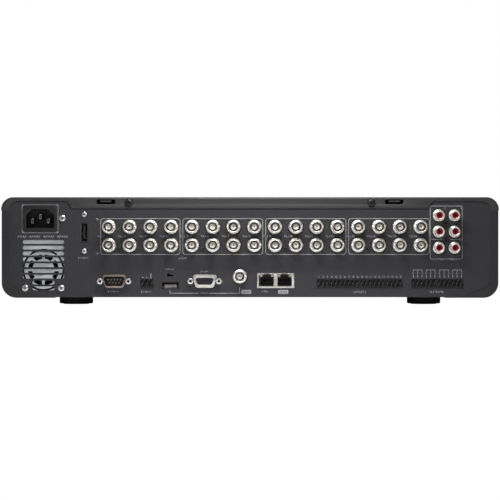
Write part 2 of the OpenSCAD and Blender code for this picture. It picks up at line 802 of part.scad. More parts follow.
module av_port_shell() color("#b0aeb0") {
    difference() {
        along_y(inside_y - 11, panel_y + 0.6) av_outline(15, 5.6, 2);
        along_y(inside_y - 10, panel_y + 2) av_outline(14, 4.6, 1.7);
    }
}

module av_port_tongue() color("#141414") {
    along_y(inside_y - 10, panel_y - 1) rect([av_port[0], av_port[1] - 0.55], [11, 2.8]);
}

network_spots = [network[0] + network_gap / 2, network[0] - network_gap / 2];
socket_w = 12.4;
socket_low = -4.6;                  // socket floor, from the pair's centre
socket_high = 5.6;

module network_ports_shield() color("#c4c2bc") {
    difference() {
        along_y(inside_y - 15, panel_y + 0.8) rect(network, network_size);
        for (x = network_spots)
            block([x - socket_w / 2, inside_y - 14, network[1] + socket_low],
                  [x + socket_w / 2, panel_y + 2, network[1] + socket_high]);
        for (x = network_spots)
            block([x - 2.4, panel_y - 1, network[1]], [x + 2.4, panel_y + 2, network[1] + 8]);
    }
}

module network_ports_inserts() color("#161412") {
    liner = 0.35;
    for (x = network_spots) difference() {
        block([x - socket_w / 2, inside_y - 14, network[1] + socket_low],
              [x + socket_w / 2, panel_y + 0.4, network[1] + socket_high]);
        block([x - socket_w / 2 + liner, inside_y - 11, network[1] + socket_low + liner],
              [x + socket_w / 2 - liner, panel_y + 2, network[1] + 2.6]);
        block([x - 3.1, inside_y - 11, network[1]], [x + 3.1, panel_y + 2, network[1] + socket_high - 0.6]);
    }
}

module disk_port_shell() color("#d2d2d2") {
    difference() {
        along_y(inside_y - 11, panel_y + 0.6) rect(disk_port, disk_port_size);
        along_y(inside_y - 10, panel_y + 2) rect(disk_port, disk_port_size - [1.2, 1.6]);
    }
    // bracket that the two screws hold, with its holes
    along_y(inside_y - 1.2, inside_y - 0.2) difference() {
        rect([disk_port[0], (disk_screw_z[0] + disk_screw_z[1]) / 2], [9, 40]);
        rect(disk_port, disk_port_size);
        for (p = disk_screws) translate(p) circle(r = 1.42);
    }
}

module disk_port_tongue() color("#141414") {
    along_y(inside_y - 10, panel_y - 0.8) {
        rect([disk_port[0] - 0.2, disk_port[1]], [1.3, 11]);
        rect([disk_port[0] - 0.85, disk_port[1] - 4.9], [2.6, 1.2]);
    }
}

// A shrouded header: open trough with a rib between poles and a notched upper edge.
module terminal_header(x, poles) {
    w = terminal_w(poles);
    inner_h = terminal_h - 2 * terminal_wall;
    difference() {
        along_y(inside_y - 9, panel_y + 0.5) rect([x, terminal_z], [w, terminal_h]);
        along_y(inside_y - 6, panel_y + 2) rect([x, terminal_z], [w - 2 * terminal_wall, inner_h]);
        for (i = [0:poles - 1])
            block([x + (i - (poles - 1) / 2) * pole_pitch - 0.6, panel_y - 3, terminal_z + 1],
                  [x + (i - (poles - 1) / 2) * pole_pitch + 0.6, panel_y + 1, terminal_z + terminal_h]);
    }
    for (i = [1:1:poles - 1])
        block([x + (i - poles / 2) * pole_pitch - 0.35, inside_y - 7, terminal_z - terminal_h / 2 + 0.4],
              [x + (i - poles / 2) * pole_pitch + 0.35, panel_y - 1.2, terminal_z + terminal_h / 2 - 0.4]);
    block([x - w / 2 + 0.2, inside_y - 9, lower_board_z], [x + w / 2 - 0.2, inside_y - 1, terminal_z - 2]);
}

module terminal_headers() color("#0e0e0f") {
    for (t = terminals) terminal_header(t[0], t[1]);
}

module terminal_pins() color("#b8b4aa") {
    for (t = terminals, i = [0:t[1] - 1]) {
        x = t[0] + (i - (t[1] - 1) / 2) * pole_pitch;
        block([x - 0.5, inside_y - 6, terminal_z - 0.5], [x + 0.5, panel_y - 2, terminal_z + 0.5]);
    }
}

// ---------- drives ----------

module hard_drives() color("#8d8f92") {
    for (x = drive_x, z = drive_z) {
        block([x - drive_size[0] / 2, drive_y0, z], [x + drive_size[0] / 2, drive_y0 + drive_size[1], z + 22]);
        block([x - drive_size[0] / 2 + 3, drive_y0 + 3, z + 22],
              [x + drive_size[0] / 2 - 3, drive_y0 + drive_size[1] - 3, z + drive_size[2]]);
    }
}

module drive_cage() color("#b4b4b2") {
    x0 = drive_x[0] - drive_size[0] / 2 - 1.2;
    x1 = drive_x[1] + drive_size[0] / 2 + 1.2;
    mid = (drive_x[0] + drive_x[1]) / 2;
    z0 = floor_step + sheet;
    for (x = [x0, mid - 0.5, x1 - 1]) difference() {
        block([x, drive_y0 + 2, z0], [x + 1, drive_y0 + drive_size[1] - 4, 72]);
        for (z = drive_z, y = [30, 75, 120])
            block([x - 1, drive_y0 + y - 9, z + 4], [x + 2, drive_y0 + y + 9, z + 16]);
    }
    for (z = [z0, drive_z[0] + 29, 71])
        block([x0, drive_y0 + 2, z], [x1, drive_y0 + drive_size[1] - 4, z + 1]);
}

module disc_drive_case() color("#a8a8a6") {
    x0 = tray_x - disc_w / 2;
    difference() {
        block([x0, disc_y0, disc_z0], [x0 + disc_w, disc_y0 + disc_d, disc_z0 + disc_h]);
        block([x0 + 1, disc_y0 - 1, disc_z0 + 1],
              [x0 + disc_w - 1, disc_y0 + disc_d - 1, disc_z0 + disc_h - 1]);
    }
    // brackets down to the floor
    for (x = [x0, x0 + disc_w - 1]) for (y = [disc_y0 + 10, disc_y0 + disc_d - 30])
        block([x, y, floor_step + sheet], [x + 1, y + 18, disc_z0]);
}

module disc_drive_mechanism() color("#3c3c3e") {
    // sled, spindle motor and read head under the tray
    block([tray_x - 60, disc_y0 + 20, disc_z0 + 1], [tray_x + 60, disc_y0 + disc_d - 6, disc_z0 + 12]);
    translate([tray_x, disc_y0 + 66, disc_z0 + 12]) cylinder(r = 14, h = 5);
    block([tray_x - 12, disc_y0 + 92, disc_z0 + 12], [tray_x + 12, disc_y0 + 122, disc_z0 + 16]);
}

module disc_tray() color("#18181a") {
    door_y = front_y - 0.4;
    y0 = front_y + 2.6;
    z0 = tray_z - 4;
    difference() {
        block([tray_x - tray_w / 2, y0, z0], [tray_x + tray_w / 2, y0 + tray_l, z0 + tray_t]);
        translate([tray_x, y0 + 72, z0 + tray_t - 2.2]) cylinder(r = 60.3, h = 5);
        translate([tray_x, y0 + 72, z0 + tray_t - 3.4]) cylinder(r = 40.5, h = 5);
        // opening for the spindle and the read head
        translate([tray_x, y0 + 72, z0 - 1]) cylinder(r = 18, h = 12);
        block([tray_x - 14, y0 + 72, z0 - 1], [tray_x + 14, y0 + 130, z0 + 12]);
    }
    along_y(door_y, y0) round_rect([tray_x, tray_z], tray_door, 2);
}

// ---------- front ----------

module front_bezel() color("#131314") {
    difference() {
        along_y(front_y, tub_y) case_profile(half_w, 0, body_h, base_r, cover_r);
        along_y(front_y + bezel_wall, tub_y + 1)
            case_profile(half_w - 2.5, 2.5, body_h - 2.5, base_r - 2.5, cover_r - 2.5);
        along_y(front_y - 1, front_y + 5) {
            round_rect([tray_x, tray_z], tray_door + [1, 1], 2.4);
            round_rect(eject_at, [12.6, 6.6], 1.6);
            for (x = usb_x) rect([x, usb_z], [14.2, 6.8]);
            for (i = [0:5])
                round_rect([key_x0 + i * key_pitch, key_z], [key_w, key_h] + 2 * [key_gap, key_gap], 2);
            translate(power_at) circle(r = power_r + key_gap);
            translate(dial) circle(r = sleeve_r + key_gap);
        }
        along_y(front_y - 1, front_y + 5) round_rect([window_x, window_z], window_size - [6, 6], 2);
        along_y(front_y - 1, front_y + 1.2) round_rect([window_x, window_z], window_size + [0.2, 0.2], 3);
        // shallow seat round the dial
        bar(dial, front_y - 1, front_y + 1, shuttle_r + 1.5);
    }
    // posts that carry the control board
    for (p = control_posts) bar(p, flange_y - 0.5, control_y, 3);
}

module front_window() color("#0a0a12") {
    along_y(front_y - 0.2, front_y + 1.2) round_rect([window_x, window_z], window_size, 3);
}

// A key: cap, the flange that keeps it behind the face, and the stem to its switch.
module push_key(at, size, r) {
    along_y(front_y - 1.3, flange_y + key_gap + 0.1) round_rect(at, size, r);
    along_y(flange_y + key_gap, flange_y + 1.5) rect(at, size + [2.4, 2.4]);
    bar(at, flange_y + 1.4, stem_y, 1.6);
}

module key(i) color("#2a2a2c") {
    push_key([key_x0 + i * key_pitch, key_z], [key_w, key_h], 1.7);
}

module eject_button() color("#2a2a2c") {
    push_key(eject_at, [12, 6], 1.3);
}

module power_button() color("#3a3a3c") {
    bar(power_at, front_y - 1.3, flange_y + key_gap + 0.1, power_r);
    bar(power_at, flange_y + key_gap, flange_y + 1.5, power_r + 1.4);
    bar(power_at, flange_y + 1.4, stem_y, 1.6);
}

module control_board() color("#1f4d33") {
    difference() {
        union() {
            block([control_x[0], control_y, control_z[0]], [control_x[1], control_y + board_t, control_z[1]]);
            for (p = concat([for (i = [0:5]) [key_x0 + i * key_pitch, key_z]], [power_at, eject_at]))
                block([p[0] - 3, control_y - switch_h, p[1] - 3], [p[0] + 3, control_y + 1, p[1] + 3]);
            // encoder boss that the dial's shaft and the ring's sleeve turn on
            bar(dial, control_y - 12, control_y + 1, boss_r);
        }
        bar(dial, control_y - 14, control_y + 3, dial_shaft_r + running_gap);
        // corner left free for the disc tray
        block([control_x[0] - 1, control_y - 1, tray_z - 8],
              [tray_x + tray_w / 2 + 2.5, control_y + 3, control_z[1] + 1]);
    }
}

module usb_ports() color("#c0c0be") {
    for (x = usb_x) {
        difference() {
            along_y(front_y + 0.6, front_y + 16) rect([x, usb_z], [13.2, 5.8]);
            along_y(front_y - 1, front_y + 14) rect([x, usb_z], [12.5, 5.1]);
        }
        along_y(front_y + 2, front_y + 14.5) rect([x, usb_z + 1.2], [11, 1.8]);
    }
    // small board behind the two sockets
    block([-200, front_y + 16, 14], [-160, front_y + 17.6, 38]);
}

module jog_dial() color("#b9babd") {
    face = -jack_tip_y;
    difference() {
        union() {
            bar(dial, face, front_y - 3.6, jog_r);
            bar(dial, front_y - 3.7, control_y + 1, dial_shaft_r);
        }
        // finger dimple
        translate([dial[0], face - 6.4, dial[1] + 12]) sphere(r = 9);
    }
}

module shuttle_ring() color("#2e2e31") {
    difference() {
        union() {
            bar(dial, front_y - 7.5, front_y + 0.5, shuttle_r);
            bar(dial, front_y, front_y + 11, sleeve_r);
        }
        bar(dial, front_y - 8, front_y - 3, jog_r + 0.6);
        bar(dial, front_y - 4, front_y + 12, boss_r + running_gap);
    }
}

module on_feet() {
    translate([0, 0, foot_h]) children();
}

on_feet() chassis_base();
on_feet() top_cover();
on_feet() rear_panel();
on_feet() front_bezel();
on_feet() front_window();
on_feet() feet();
on_feet() foot_pads();
on_feet() cover_screws();
on_feet() panel_screws();
on_feet() rear_screws();
on_feet() psu_case();
on_feet() psu_lid();
on_feet() power_inlet();
on_feet() inlet_blades();
on_feet() psu_fan_frame();
on_feet() psu_fan_rotor();
on_feet() psu_board();
on_feet() psu_parts();
on_feet() psu_harness();
on_feet() main_board();
on_feet() video_board();
on_feet() board_standoffs();
on_feet() processor_heatsink();
on_feet() video_jack_blocks();
on_feet() video_jack_shells();
on_feet() video_jack_insulators();
on_feet() video_jack_contacts();
on_feet() audio_jack_block();
on_feet() audio_jack_shells();
on_feet() audio_jack_inserts();
on_feet() serial_port_shell();
on_feet() serial_port_pins();
on_feet() monitor_port_shell();
on_feet() monitor_port_insert();
on_feet() port_jacknuts();
on_feet() av_port_shell();
on_feet() av_port_tongue();
on_feet() network_ports_shield();
on_feet() network_ports_inserts();
on_feet() disk_port_shell();
on_feet() disk_port_tongue();
on_feet() terminal_headers();
on_feet() terminal_pins();
on_feet() hard_drives();
on_feet() drive_cage();
on_feet() disc_drive_case();
on_feet() disc_drive_mechanism();
on_feet() disc_tray();
on_feet() eject_button();
on_feet() control_board();
on_feet() usb_ports();
on_feet() power_button();
on_feet() jog_dial();
on_feet() shuttle_ring();
on_feet() key(0);  // key_menu
on_feet() key(1);  // key_search
on_feet() key(2);  // key_record
on_feet() key(3);  // key_play
on_feet() key(4);  // key_stop
on_feet() key(5);  // key_copy
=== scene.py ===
"""Rack-width digital video recorder: the visible pieces, finishes and studio round its frame."""

import json
from contextlib import contextmanager
from math import cos, inf, pi, radians, sin

import bmesh
import bpy
from bpy.props import FloatProperty, FloatVectorProperty, IntProperty, PointerProperty
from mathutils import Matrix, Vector


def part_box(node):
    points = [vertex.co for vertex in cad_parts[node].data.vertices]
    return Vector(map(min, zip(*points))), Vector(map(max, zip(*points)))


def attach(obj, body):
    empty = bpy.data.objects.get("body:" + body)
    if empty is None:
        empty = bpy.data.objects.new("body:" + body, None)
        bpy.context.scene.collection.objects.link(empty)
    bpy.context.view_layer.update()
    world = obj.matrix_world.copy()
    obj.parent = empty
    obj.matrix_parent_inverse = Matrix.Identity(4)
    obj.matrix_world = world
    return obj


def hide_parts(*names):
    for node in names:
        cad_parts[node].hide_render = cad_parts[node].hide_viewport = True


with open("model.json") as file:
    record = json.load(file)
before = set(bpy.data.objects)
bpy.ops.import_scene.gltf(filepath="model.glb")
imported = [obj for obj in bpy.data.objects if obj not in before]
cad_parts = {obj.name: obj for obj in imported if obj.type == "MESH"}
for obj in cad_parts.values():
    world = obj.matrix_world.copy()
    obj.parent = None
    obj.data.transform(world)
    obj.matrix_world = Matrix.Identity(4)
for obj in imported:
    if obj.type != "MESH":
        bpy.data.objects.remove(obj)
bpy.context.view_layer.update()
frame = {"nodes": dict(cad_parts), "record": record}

bl_info = {
    "name": "Video recorder",
    "version": (1, 0, 0),
    "blender": (4, 5, 0),
    "location": "3D View > Sidebar > Recorder",
    "description": "Builds the recorder's connectors, case, front and studio round its packed frame",
    "category": "Add Mesh",
}

# ---------- places taken from the frame ----------

MM = 0.001
CASE = "case"
SPOTS = {mount["name"]: mount["pos_m"] for mount in frame["record"]["mounts"]}


def spot(name):
    """Where a mount stands across the rear or the front, as (x, z)."""
    return SPOTS[name][0], SPOTS[name][2]


PANEL_Y = SPOTS["mains_inlet"][1]
REAR_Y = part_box("chassis_base")[1].y
TIP_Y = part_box("video_jack_shells")[1].y
FRONT_Y = SPOTS["usb_1"][1]
CASE_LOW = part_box("chassis_base")[0]
CASE_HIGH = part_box("top_cover")[1]
COLUMNS = 16
JACKS = [spot(f"video_{row}_{i + 1}") for row in ("in", "loop") for i in range(COLUMNS)]
ALL_JACKS = JACKS + [spot("video_main_out")]
AUDIO_JACKS = [spot(f"audio_{i + 1}") for i in range(6)]
TERMINALS = {"bus_terminal": 3, "alarm_in_1": 10, "alarm_in_2": 10, "alarm_out_1": 6, "alarm_out_2": 6}
TERMINAL_PITCH = 3.81 * MM
LID_CORNER = 10.8 * MM
BASE_CORNER = 13.2 * MM
KEYS = ("key_menu", "key_search", "key_record", "key_play", "key_stop", "key_copy")


# Centre and width of the two inverse labels, and the height where they stand, in millimetres
LABELS = ((3.3, 8.5), (-29.35, 9.0))
LABEL_Z = 11.5

# Area in square metres of turned-over triangles that still counts as none
FOLD_LIMIT = 2e-8

# Height of a capital letter in parts of the text's size
CAPITAL = 0.69


# ---------- settings ----------


class RecorderSizes(bpy.types.PropertyGroup):
    """Sizes that a user would change."""

    edge: FloatProperty(
        name="Edge", description="Rounding of small sheet edges", default=0.18 * MM, min=0, unit="LENGTH"
    )
    bend: FloatProperty(
        name="Bend",
        description="Outer radius where the sheet is folded",
        default=1.3 * MM,
        min=0,
        unit="LENGTH",
    )
    barrel: FloatProperty(
        name="Barrel", description="Radius of a video jack's barrel", default=4.8 * MM, min=0, unit="LENGTH"
    )
    phono: FloatProperty(
        name="Phono shell",
        description="Radius of an audio jack's shell",
        default=4.15 * MM,
        min=0,
        unit="LENGTH",
    )
    ink: FloatProperty(
        name="Ink", description="Thickness of the printed marks", default=0.04 * MM, min=0, unit="LENGTH"
    )
    line: FloatProperty(
        name="Line", description="Width of the printed frames' lines", default=0.44 * MM, min=0, unit="LENGTH"
    )
    turns: IntProperty(name="Steps", description="Sides of a turned piece", default=40, min=12, max=96)


class RecorderColours(bpy.types.PropertyGroup):
    """Base colours, in linear light."""

    cover: FloatVectorProperty(
        name="Cover", description="Paint of the lid", subtype="COLOR", default=(0.056, 0.056, 0.057)
    )
    base: FloatVectorProperty(
        name="Base", description="Paint of the base", subtype="COLOR", default=(0.035, 0.035, 0.036)
    )
    panel: FloatVectorProperty(
        name="Panel", description="Paint of the rear panel", subtype="COLOR", default=(0.0175, 0.0175, 0.018)
    )
    ink: FloatVectorProperty(
        name="Ink", description="Printed marks", subtype="COLOR", default=(0.34, 0.34, 0.34)
    )
    nickel: FloatVectorProperty(
        name="Nickel", description="Plating of the jacks", subtype="COLOR", default=(0.74, 0.69, 0.65)
    )
    insert: FloatVectorProperty(
        name="Insert",
        description="Plastic inside the audio jacks",
        subtype="COLOR",
        default=(0.24, 0.006, 0.012),
    )


class StudioSettings(bpy.types.PropertyGroup):
    """The camera and the lights."""

    distance: FloatProperty(
        name="Distance", description="From the camera to the rear flange", default=2.0, unit="LENGTH"
    )
    lens: FloatProperty(name="Lens", description="Focal length in millimetres", default=163.0)
    aim: FloatProperty(name="Aim", description="Height of the camera", default=48.5 * MM, unit="LENGTH")
    surround: FloatProperty(name="Surround", description="Light from all round", default=0.09)


# ---------- modelling ----------


def deselect():
    """Leaves edit mode and selects nothing."""
    if bpy.context.object and bpy.context.object.mode != "OBJECT":
        bpy.ops.object.mode_set(mode="OBJECT")
    bpy.ops.object.select_all(action="DESELECT")


def added(name):
    """Names the primitive just added and moves its place into its mesh."""
    piece = bpy.context.object
    piece.name = piece.data.name = name
    bpy.ops.object.transform_apply(location=True, rotation=True, scale=True)
    return piece


def block(name, low, high):
    """A box from its low corner to its high corner."""
    deselect()
    low, high = Vector(low), Vector(high)
    bpy.ops.mesh.primitive_cube_add(size=1, location=(low + high) / 2, scale=high - low)
    return added(name)


def bar(name, at, y0, y1, radius, sides=32):
    """A round bar along the depth, through at = (x, z)."""
    deselect()
    bpy.ops.mesh.primitive_cylinder_add(
        vertices=sides,
        radius=radius,
        depth=y1 - y0,
        location=(at[0], (y0 + y1) / 2, at[1]),
        rotation=(pi / 2, 0, 0),
    )
    return added(name)


@contextmanager
def editing(piece, kind="FACE"):
    """Edit mode on one piece, with nothing selected."""
    deselect()
    bpy.context.view_layer.objects.active = piece
    piece.select_set(True)
    bpy.ops.object.mode_set(mode="EDIT")
    bpy.ops.mesh.select_mode(type=kind)
    bpy.ops.mesh.select_all(action="DESELECT")
    yield piece
    bpy.ops.object.mode_set(mode="OBJECT")
    piece.select_set(False)


def pick(piece, test):
    """Selects the faces or the edges that pass the test."""
    mesh = bmesh.from_edit_mesh(piece.data)
    faces = bpy.context.tool_settings.mesh_select_mode[2]
    for part in mesh.faces if faces else mesh.edges:
        part.select_set(bool(test(part)))
    bmesh.update_edit_mesh(piece.data)


def running(axis):
    """A test for edges that run along an axis: 0, 1 or 2."""
    return lambda edge: abs((edge.verts[1].co - edge.verts[0].co).normalized()[axis]) > 0.99


def middle(edge):
    """The middle of an edge."""
    return (edge.verts[0].co + edge.verts[1].co) / 2


def round_edges(piece, test, width, segments=4):
    """Bevels the edges that pass the test."""
    with editing(piece, "EDGE"):
        pick(piece, test)
        bpy.ops.mesh.bevel(offset=width, segments=segments, affect="EDGES", clamp_overlap=True)
    return piece


def finished_by(piece, kind, **values):
    """Adds a modifier with these values and applies it."""
    deselect()
    bpy.context.view_layer.objects.active = piece
    piece.select_set(True)
    modifier = piece.modifiers.new(kind.title(), kind)
    for key, value in values.items():
        setattr(modifier, key, value)
    bpy.ops.object.modifier_apply(modifier=modifier.name)
    piece.select_set(False)
    return piece


def folded(piece):
    """The area of a piece's triangles that lie turned against their own face."""
    mesh = piece.data
    mesh.calc_loop_triangles()
    faces = mesh.polygons
    total = 0
    for part in mesh.loop_triangles:
        if part.normal.dot(faces[part.polygon_index].normal) < 0:
            total += part.area
    return total


def ease(piece, width, segments=2, angle=32):
    """Rounds every edge sharper than the angle, with the first settings that fold no face over."""
    plain = piece.data
    name = plain.name
    for share, miter, steps in (
        (1, "MITER_ARC", segments), (1, "MITER_SHARP", segments), (0.6, "MITER_SHARP", segments),
        (0.3, "MITER_SHARP", 1), (0.1, "MITER_SHARP", 1),
    ):
        piece.data = plain.copy()
        finished_by(
            piece,
            "BEVEL",
            width=width * share,
            segments=steps,
            limit_method="ANGLE",
            angle_limit=radians(angle),
            use_clamp_overlap=True,
            miter_outer=miter,
        )
        if folded(piece) < FOLD_LIMIT:
            break
    else:
        piece.data = plain.copy()
    bpy.data.meshes.remove(plain)
    piece.data.name = name
    return piece


def cut(piece, *tools):
    """Takes the tools' shapes out of the piece."""
    for tool in tools:
        finished_by(piece, "BOOLEAN", operation="DIFFERENCE", object=tool, solver="EXACT")
        bpy.data.objects.remove(tool)
    return piece


def joined(name, pieces):
    """One piece made of several."""
    deselect()
    for piece in pieces:
        piece.select_set(True)
    bpy.context.view_layer.objects.active = pieces[0]
    if len(pieces) > 1:
        bpy.ops.object.join()
    whole = bpy.context.object
    whole.name = whole.data.name = name
    whole.select_set(False)
    return whole


def copied(piece, moves):
    """The piece and its copies, each moved by an offset from where the piece is."""
    group = []
    for move in moves:
        deselect()
        bpy.context.view_layer.objects.active = piece
        piece.select_set(True)
        bpy.ops.object.duplicate()
        bpy.ops.transform.translate(value=move)
        bpy.ops.object.transform_apply(location=True, rotation=False, scale=False)
        group.append(bpy.context.object)
    bpy.data.objects.remove(piece)
    return group


def repeated(name, piece, spots, at=(0, 0)):
    """Copies of a piece made about at, one for each spot (x, z), joined."""
    return joined(name, copied(piece, [(x - at[0], 0, z - at[1]) for x, z in spots]))


def clean(piece):
    """Merges doubles, drops loose bits and turns the faces outwards."""
    with editing(piece, "VERT"):
        bpy.ops.mesh.select_all(action="SELECT")
        bpy.ops.mesh.remove_doubles(threshold=1e-6)
        bpy.ops.mesh.delete_loose()
        bpy.ops.mesh.select_all(action="SELECT")
        bpy.ops.mesh.normals_make_consistent(inside=False)
    return piece


def turned(name, at, profile, steps=None):
    """A turned piece: its half section, a ring of (radius, y) points, spun about the line through at."""
    deselect()
    bpy.ops.mesh.primitive_circle_add(vertices=len(profile), radius=1)
    piece = added(name)
    for corner, (radius, y) in zip(piece.data.vertices, profile):
        corner.co = (at[0] + radius, y, at[1])
    with editing(piece, "EDGE"):
        bpy.ops.mesh.select_all(action="SELECT")
        bpy.ops.mesh.spin(
            steps=steps or sizes().turns, angle=2 * pi, center=(at[0], 0, at[1]), axis=(0, 1, 0)
        )
    return clean(piece)


def plate(name, outline, y0, y1):
    """An outline of (x, z) points, filled and extruded from y0 to y1."""
    deselect()
    bpy.ops.mesh.primitive_circle_add(vertices=len(outline), radius=1, fill_type="NGON")
    piece = added(name)
    for corner, (x, z) in zip(piece.data.vertices, outline):
        corner.co = (x, y0, z)
    with editing(piece):
        bpy.ops.mesh.select_all(action="SELECT")
        bpy.ops.mesh.extrude_region_move(TRANSFORM_OT_translate={"value": (0, y1 - y0, 0)})
    return clean(piece)


def rounded_block(name, at, size, y0, y1, radius, segments=4):
    """A box with its four long edges rounded; at and size are across, (x, z)."""
    piece = block(
        name, (at[0] - size[0] / 2, y0, at[1] - size[1] / 2), (at[0] + size[0] / 2, y1, at[1] + size[1] / 2)
    )
    return round_edges(piece, running(1), radius, segments)


def merged_copy(node, name):
    """A copy of a CAD node with its triangles joined into whole faces."""
    source = frame["nodes"][node]
    deselect()
    bpy.context.view_layer.objects.active = source
    source.select_set(True)
    bpy.ops.object.duplicate()
    piece = bpy.context.object
    for key in list(piece.keys()):
        del piece[key]
    piece.parent = None
    piece.name = piece.data.name = name
    with editing(piece, "VERT"):
        bpy.ops.mesh.select_all(action="SELECT")
        bpy.ops.mesh.remove_doubles(threshold=1e-6)
        bpy.ops.mesh.customdata_custom_splitnormals_clear()
        bpy.ops.mesh.dissolve_limited(angle_limit=radians(0.6))
    return piece


def settle(piece, material, replaces=(), body=CASE, smooth=35):
    """Gives a finished piece its finish, its shading and its body, and hides the nodes that it stands for."""
    if material is not None:
        piece.data.materials.clear()
        piece.data.materials.append(material)
    deselect()
    bpy.context.view_layer.objects.active = piece
    piece.select_set(True)
    bpy.ops.object.shade_smooth_by_angle(angle=radians(smooth))
    piece.select_set(False)
    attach(piece, body)
    if replaces:
        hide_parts(*replaces)
    return piece


def kept_shape(node, look, width, body=CASE, angle=32):
    """A CAD shape with eased edges and one finish."""
    piece = merged_copy(node, node + "_part")
    ease(piece, width * MM, segments=2, angle=angle)
    return settle(piece, finish(look), [node], body=body)


def painted(piece, look, test):
    """Gives a second finish to the faces that pass the test."""
    piece.data.materials.append(finish(look))
    piece.active_material_index = len(piece.data.materials) - 1
    with editing(piece):
        pick(piece, test)
        bpy.ops.object.material_slot_assign()
    return piece


def between(axis, low=-inf, high=inf):
    """A test for faces whose middle lies between two places along an axis: "x", "y" or "z"."""
    return lambda face: low < getattr(face.calc_center_median(), axis) < high


def within(face, at, radius):
    """True where all of a face is closer than the radius to the line along the depth through at."""
    return all(Vector((corner.co.x - at[0], corner.co.z - at[1])).length < radius for corner in face.verts)


def sizes():
    """The sizes in the sidebar."""
    return bpy.context.scene.recorder_sizes


def colours():
    """The colours in the sidebar."""
    return bpy.context.scene.recorder_colours


# ---------- effects that several finishes share ----------


def new_group(name, takes, gives):
    """An empty node group with these sockets, and its input and output nodes."""
    group = bpy.data.node_groups.new(name, "ShaderNodeTree")
    for label, kind, default in takes:
        socket = group.interface.new_socket(name=label, in_out="INPUT", socket_type="NodeSocket" + kind)
        socket.default_value = default
    for label, kind in gives:
        group.interface.new_socket(name=label, in_out="OUTPUT", socket_type="NodeSocket" + kind)
    start, end = group.nodes.new("NodeGroupInput"), group.nodes.new("NodeGroupOutput")
    return group, start, end


def add_node(tree, kind, inputs=(), **settings):
    """A node with these settings; inputs maps a socket to a value or to another node's output."""
    node = tree.nodes.new("ShaderNode" + kind)
    for key, value in settings.items():
        setattr(node, key, value)
    for key, value in dict(inputs).items():
        if isinstance(value, bpy.types.NodeSocket):
            tree.links.new(value, node.inputs[key])
        else:
            node.inputs[key].default_value = value
    return node


def blend_colours(tree, factor, low, high, mode="MIX"):
    """The mix of two colours; any of the three may be a socket."""
    node = add_node(tree, "Mix", {0: factor, 6: low, 7: high}, data_type="RGBA", blend_type=mode)
    return node.outputs[2]


def mottle_group():
    """Slow cloudy variation between two colours, with its mask."""
    takes = [
        ("Colour", "Color", (0.5, 0.5, 0.5, 1)),
        ("Other", "Color", (0.4, 0.4, 0.4, 1)),
        ("Scale", "Float", 40.0),
    ]
    group, start, end = new_group("mottle", takes, [("Colour", "Color"), ("Mask", "Float")])
    place = add_node(group, "TexCoord").outputs["Object"]
    wide = add_node(group, "TexNoise", {"Vector": place, "Scale": start.outputs["Scale"], "Detail": 6.0})
    mask = add_node(group, "MapRange", {"Value": wide.outputs["Fac"], "From Min": 0.35, "From Max": 0.65})
    mixed = blend_colours(group, mask.outputs[0], start.outputs["Colour"], start.outputs["Other"])
    group.links.new(mixed, end.inputs["Colour"])
    group.links.new(mask.outputs[0], end.inputs["Mask"])
    return group


def grain_group():
    """Fine pebbled texture, as of sprayed powder or spark-eroded plastic."""
    takes = [("Scale", "Float", 1800.0), ("Stretch", "Vector", (1.0, 1.0, 1.0))]
    group, start, end = new_group("grain", takes, [("Height", "Float")])
    place = add_node(group, "TexCoord").outputs["Object"]
    stretched = add_node(group, "Mapping", {"Vector": place, "Scale": start.outputs["Stretch"]})
    fine = add_node(
        group, "TexNoise", {"Vector": stretched.outputs[0], "Scale": start.outputs["Scale"], "Detail": 3.0}
    )
    cells = add_node(
        group,
        "TexVoronoi",
        {"Vector": stretched.outputs[0], "Scale": start.outputs["Scale"]},
        feature="SMOOTH_F1",
    )
    both = add_node(
        group, "Math", {0: fine.outputs["Fac"], 1: cells.outputs["Distance"]}, operation="ADD"
    )
    group.links.new(both.outputs[0], end.inputs["Height"])
    return group


def edge_group():
    """A mask of worn edges and corners, broken up by noise."""
    takes = [("Radius", "Float", 0.0005), ("Amount", "Float", 0.5)]
    group, start, end = new_group("worn_edges", takes, [("Mask", "Float")])
    eased = add_node(group, "Bevel", {"Radius": start.outputs["Radius"]}, samples=4)
    plain = add_node(group, "NewGeometry").outputs["Normal"]
    turn = add_node(group, "VectorMath", {0: eased.outputs[0], 1: plain}, operation="DOT_PRODUCT")
    edge = add_node(group, "MapRange", {"Value": turn.outputs["Value"], "From Min": 0.985, "From Max": 0.85})
    place = add_node(group, "TexCoord").outputs["Object"]
    rough = add_node(group, "TexNoise", {"Vector": place, "Scale": 420.0, "Detail": 5.0})
    broken = add_node(group, "MapRange", {"Value": rough.outputs["Fac"], "From Min": 0.42, "From Max": 0.62})
    worn = add_node(group, "Math", {0: edge.outputs[0], 1: broken.outputs[0]}, operation="MULTIPLY")
    scaled = add_node(group, "Math", {0: worn.outputs[0], 1: start.outputs["Amount"]}, operation="MULTIPLY")
    group.links.new(scaled.outputs[0], end.inputs["Mask"])
    return group


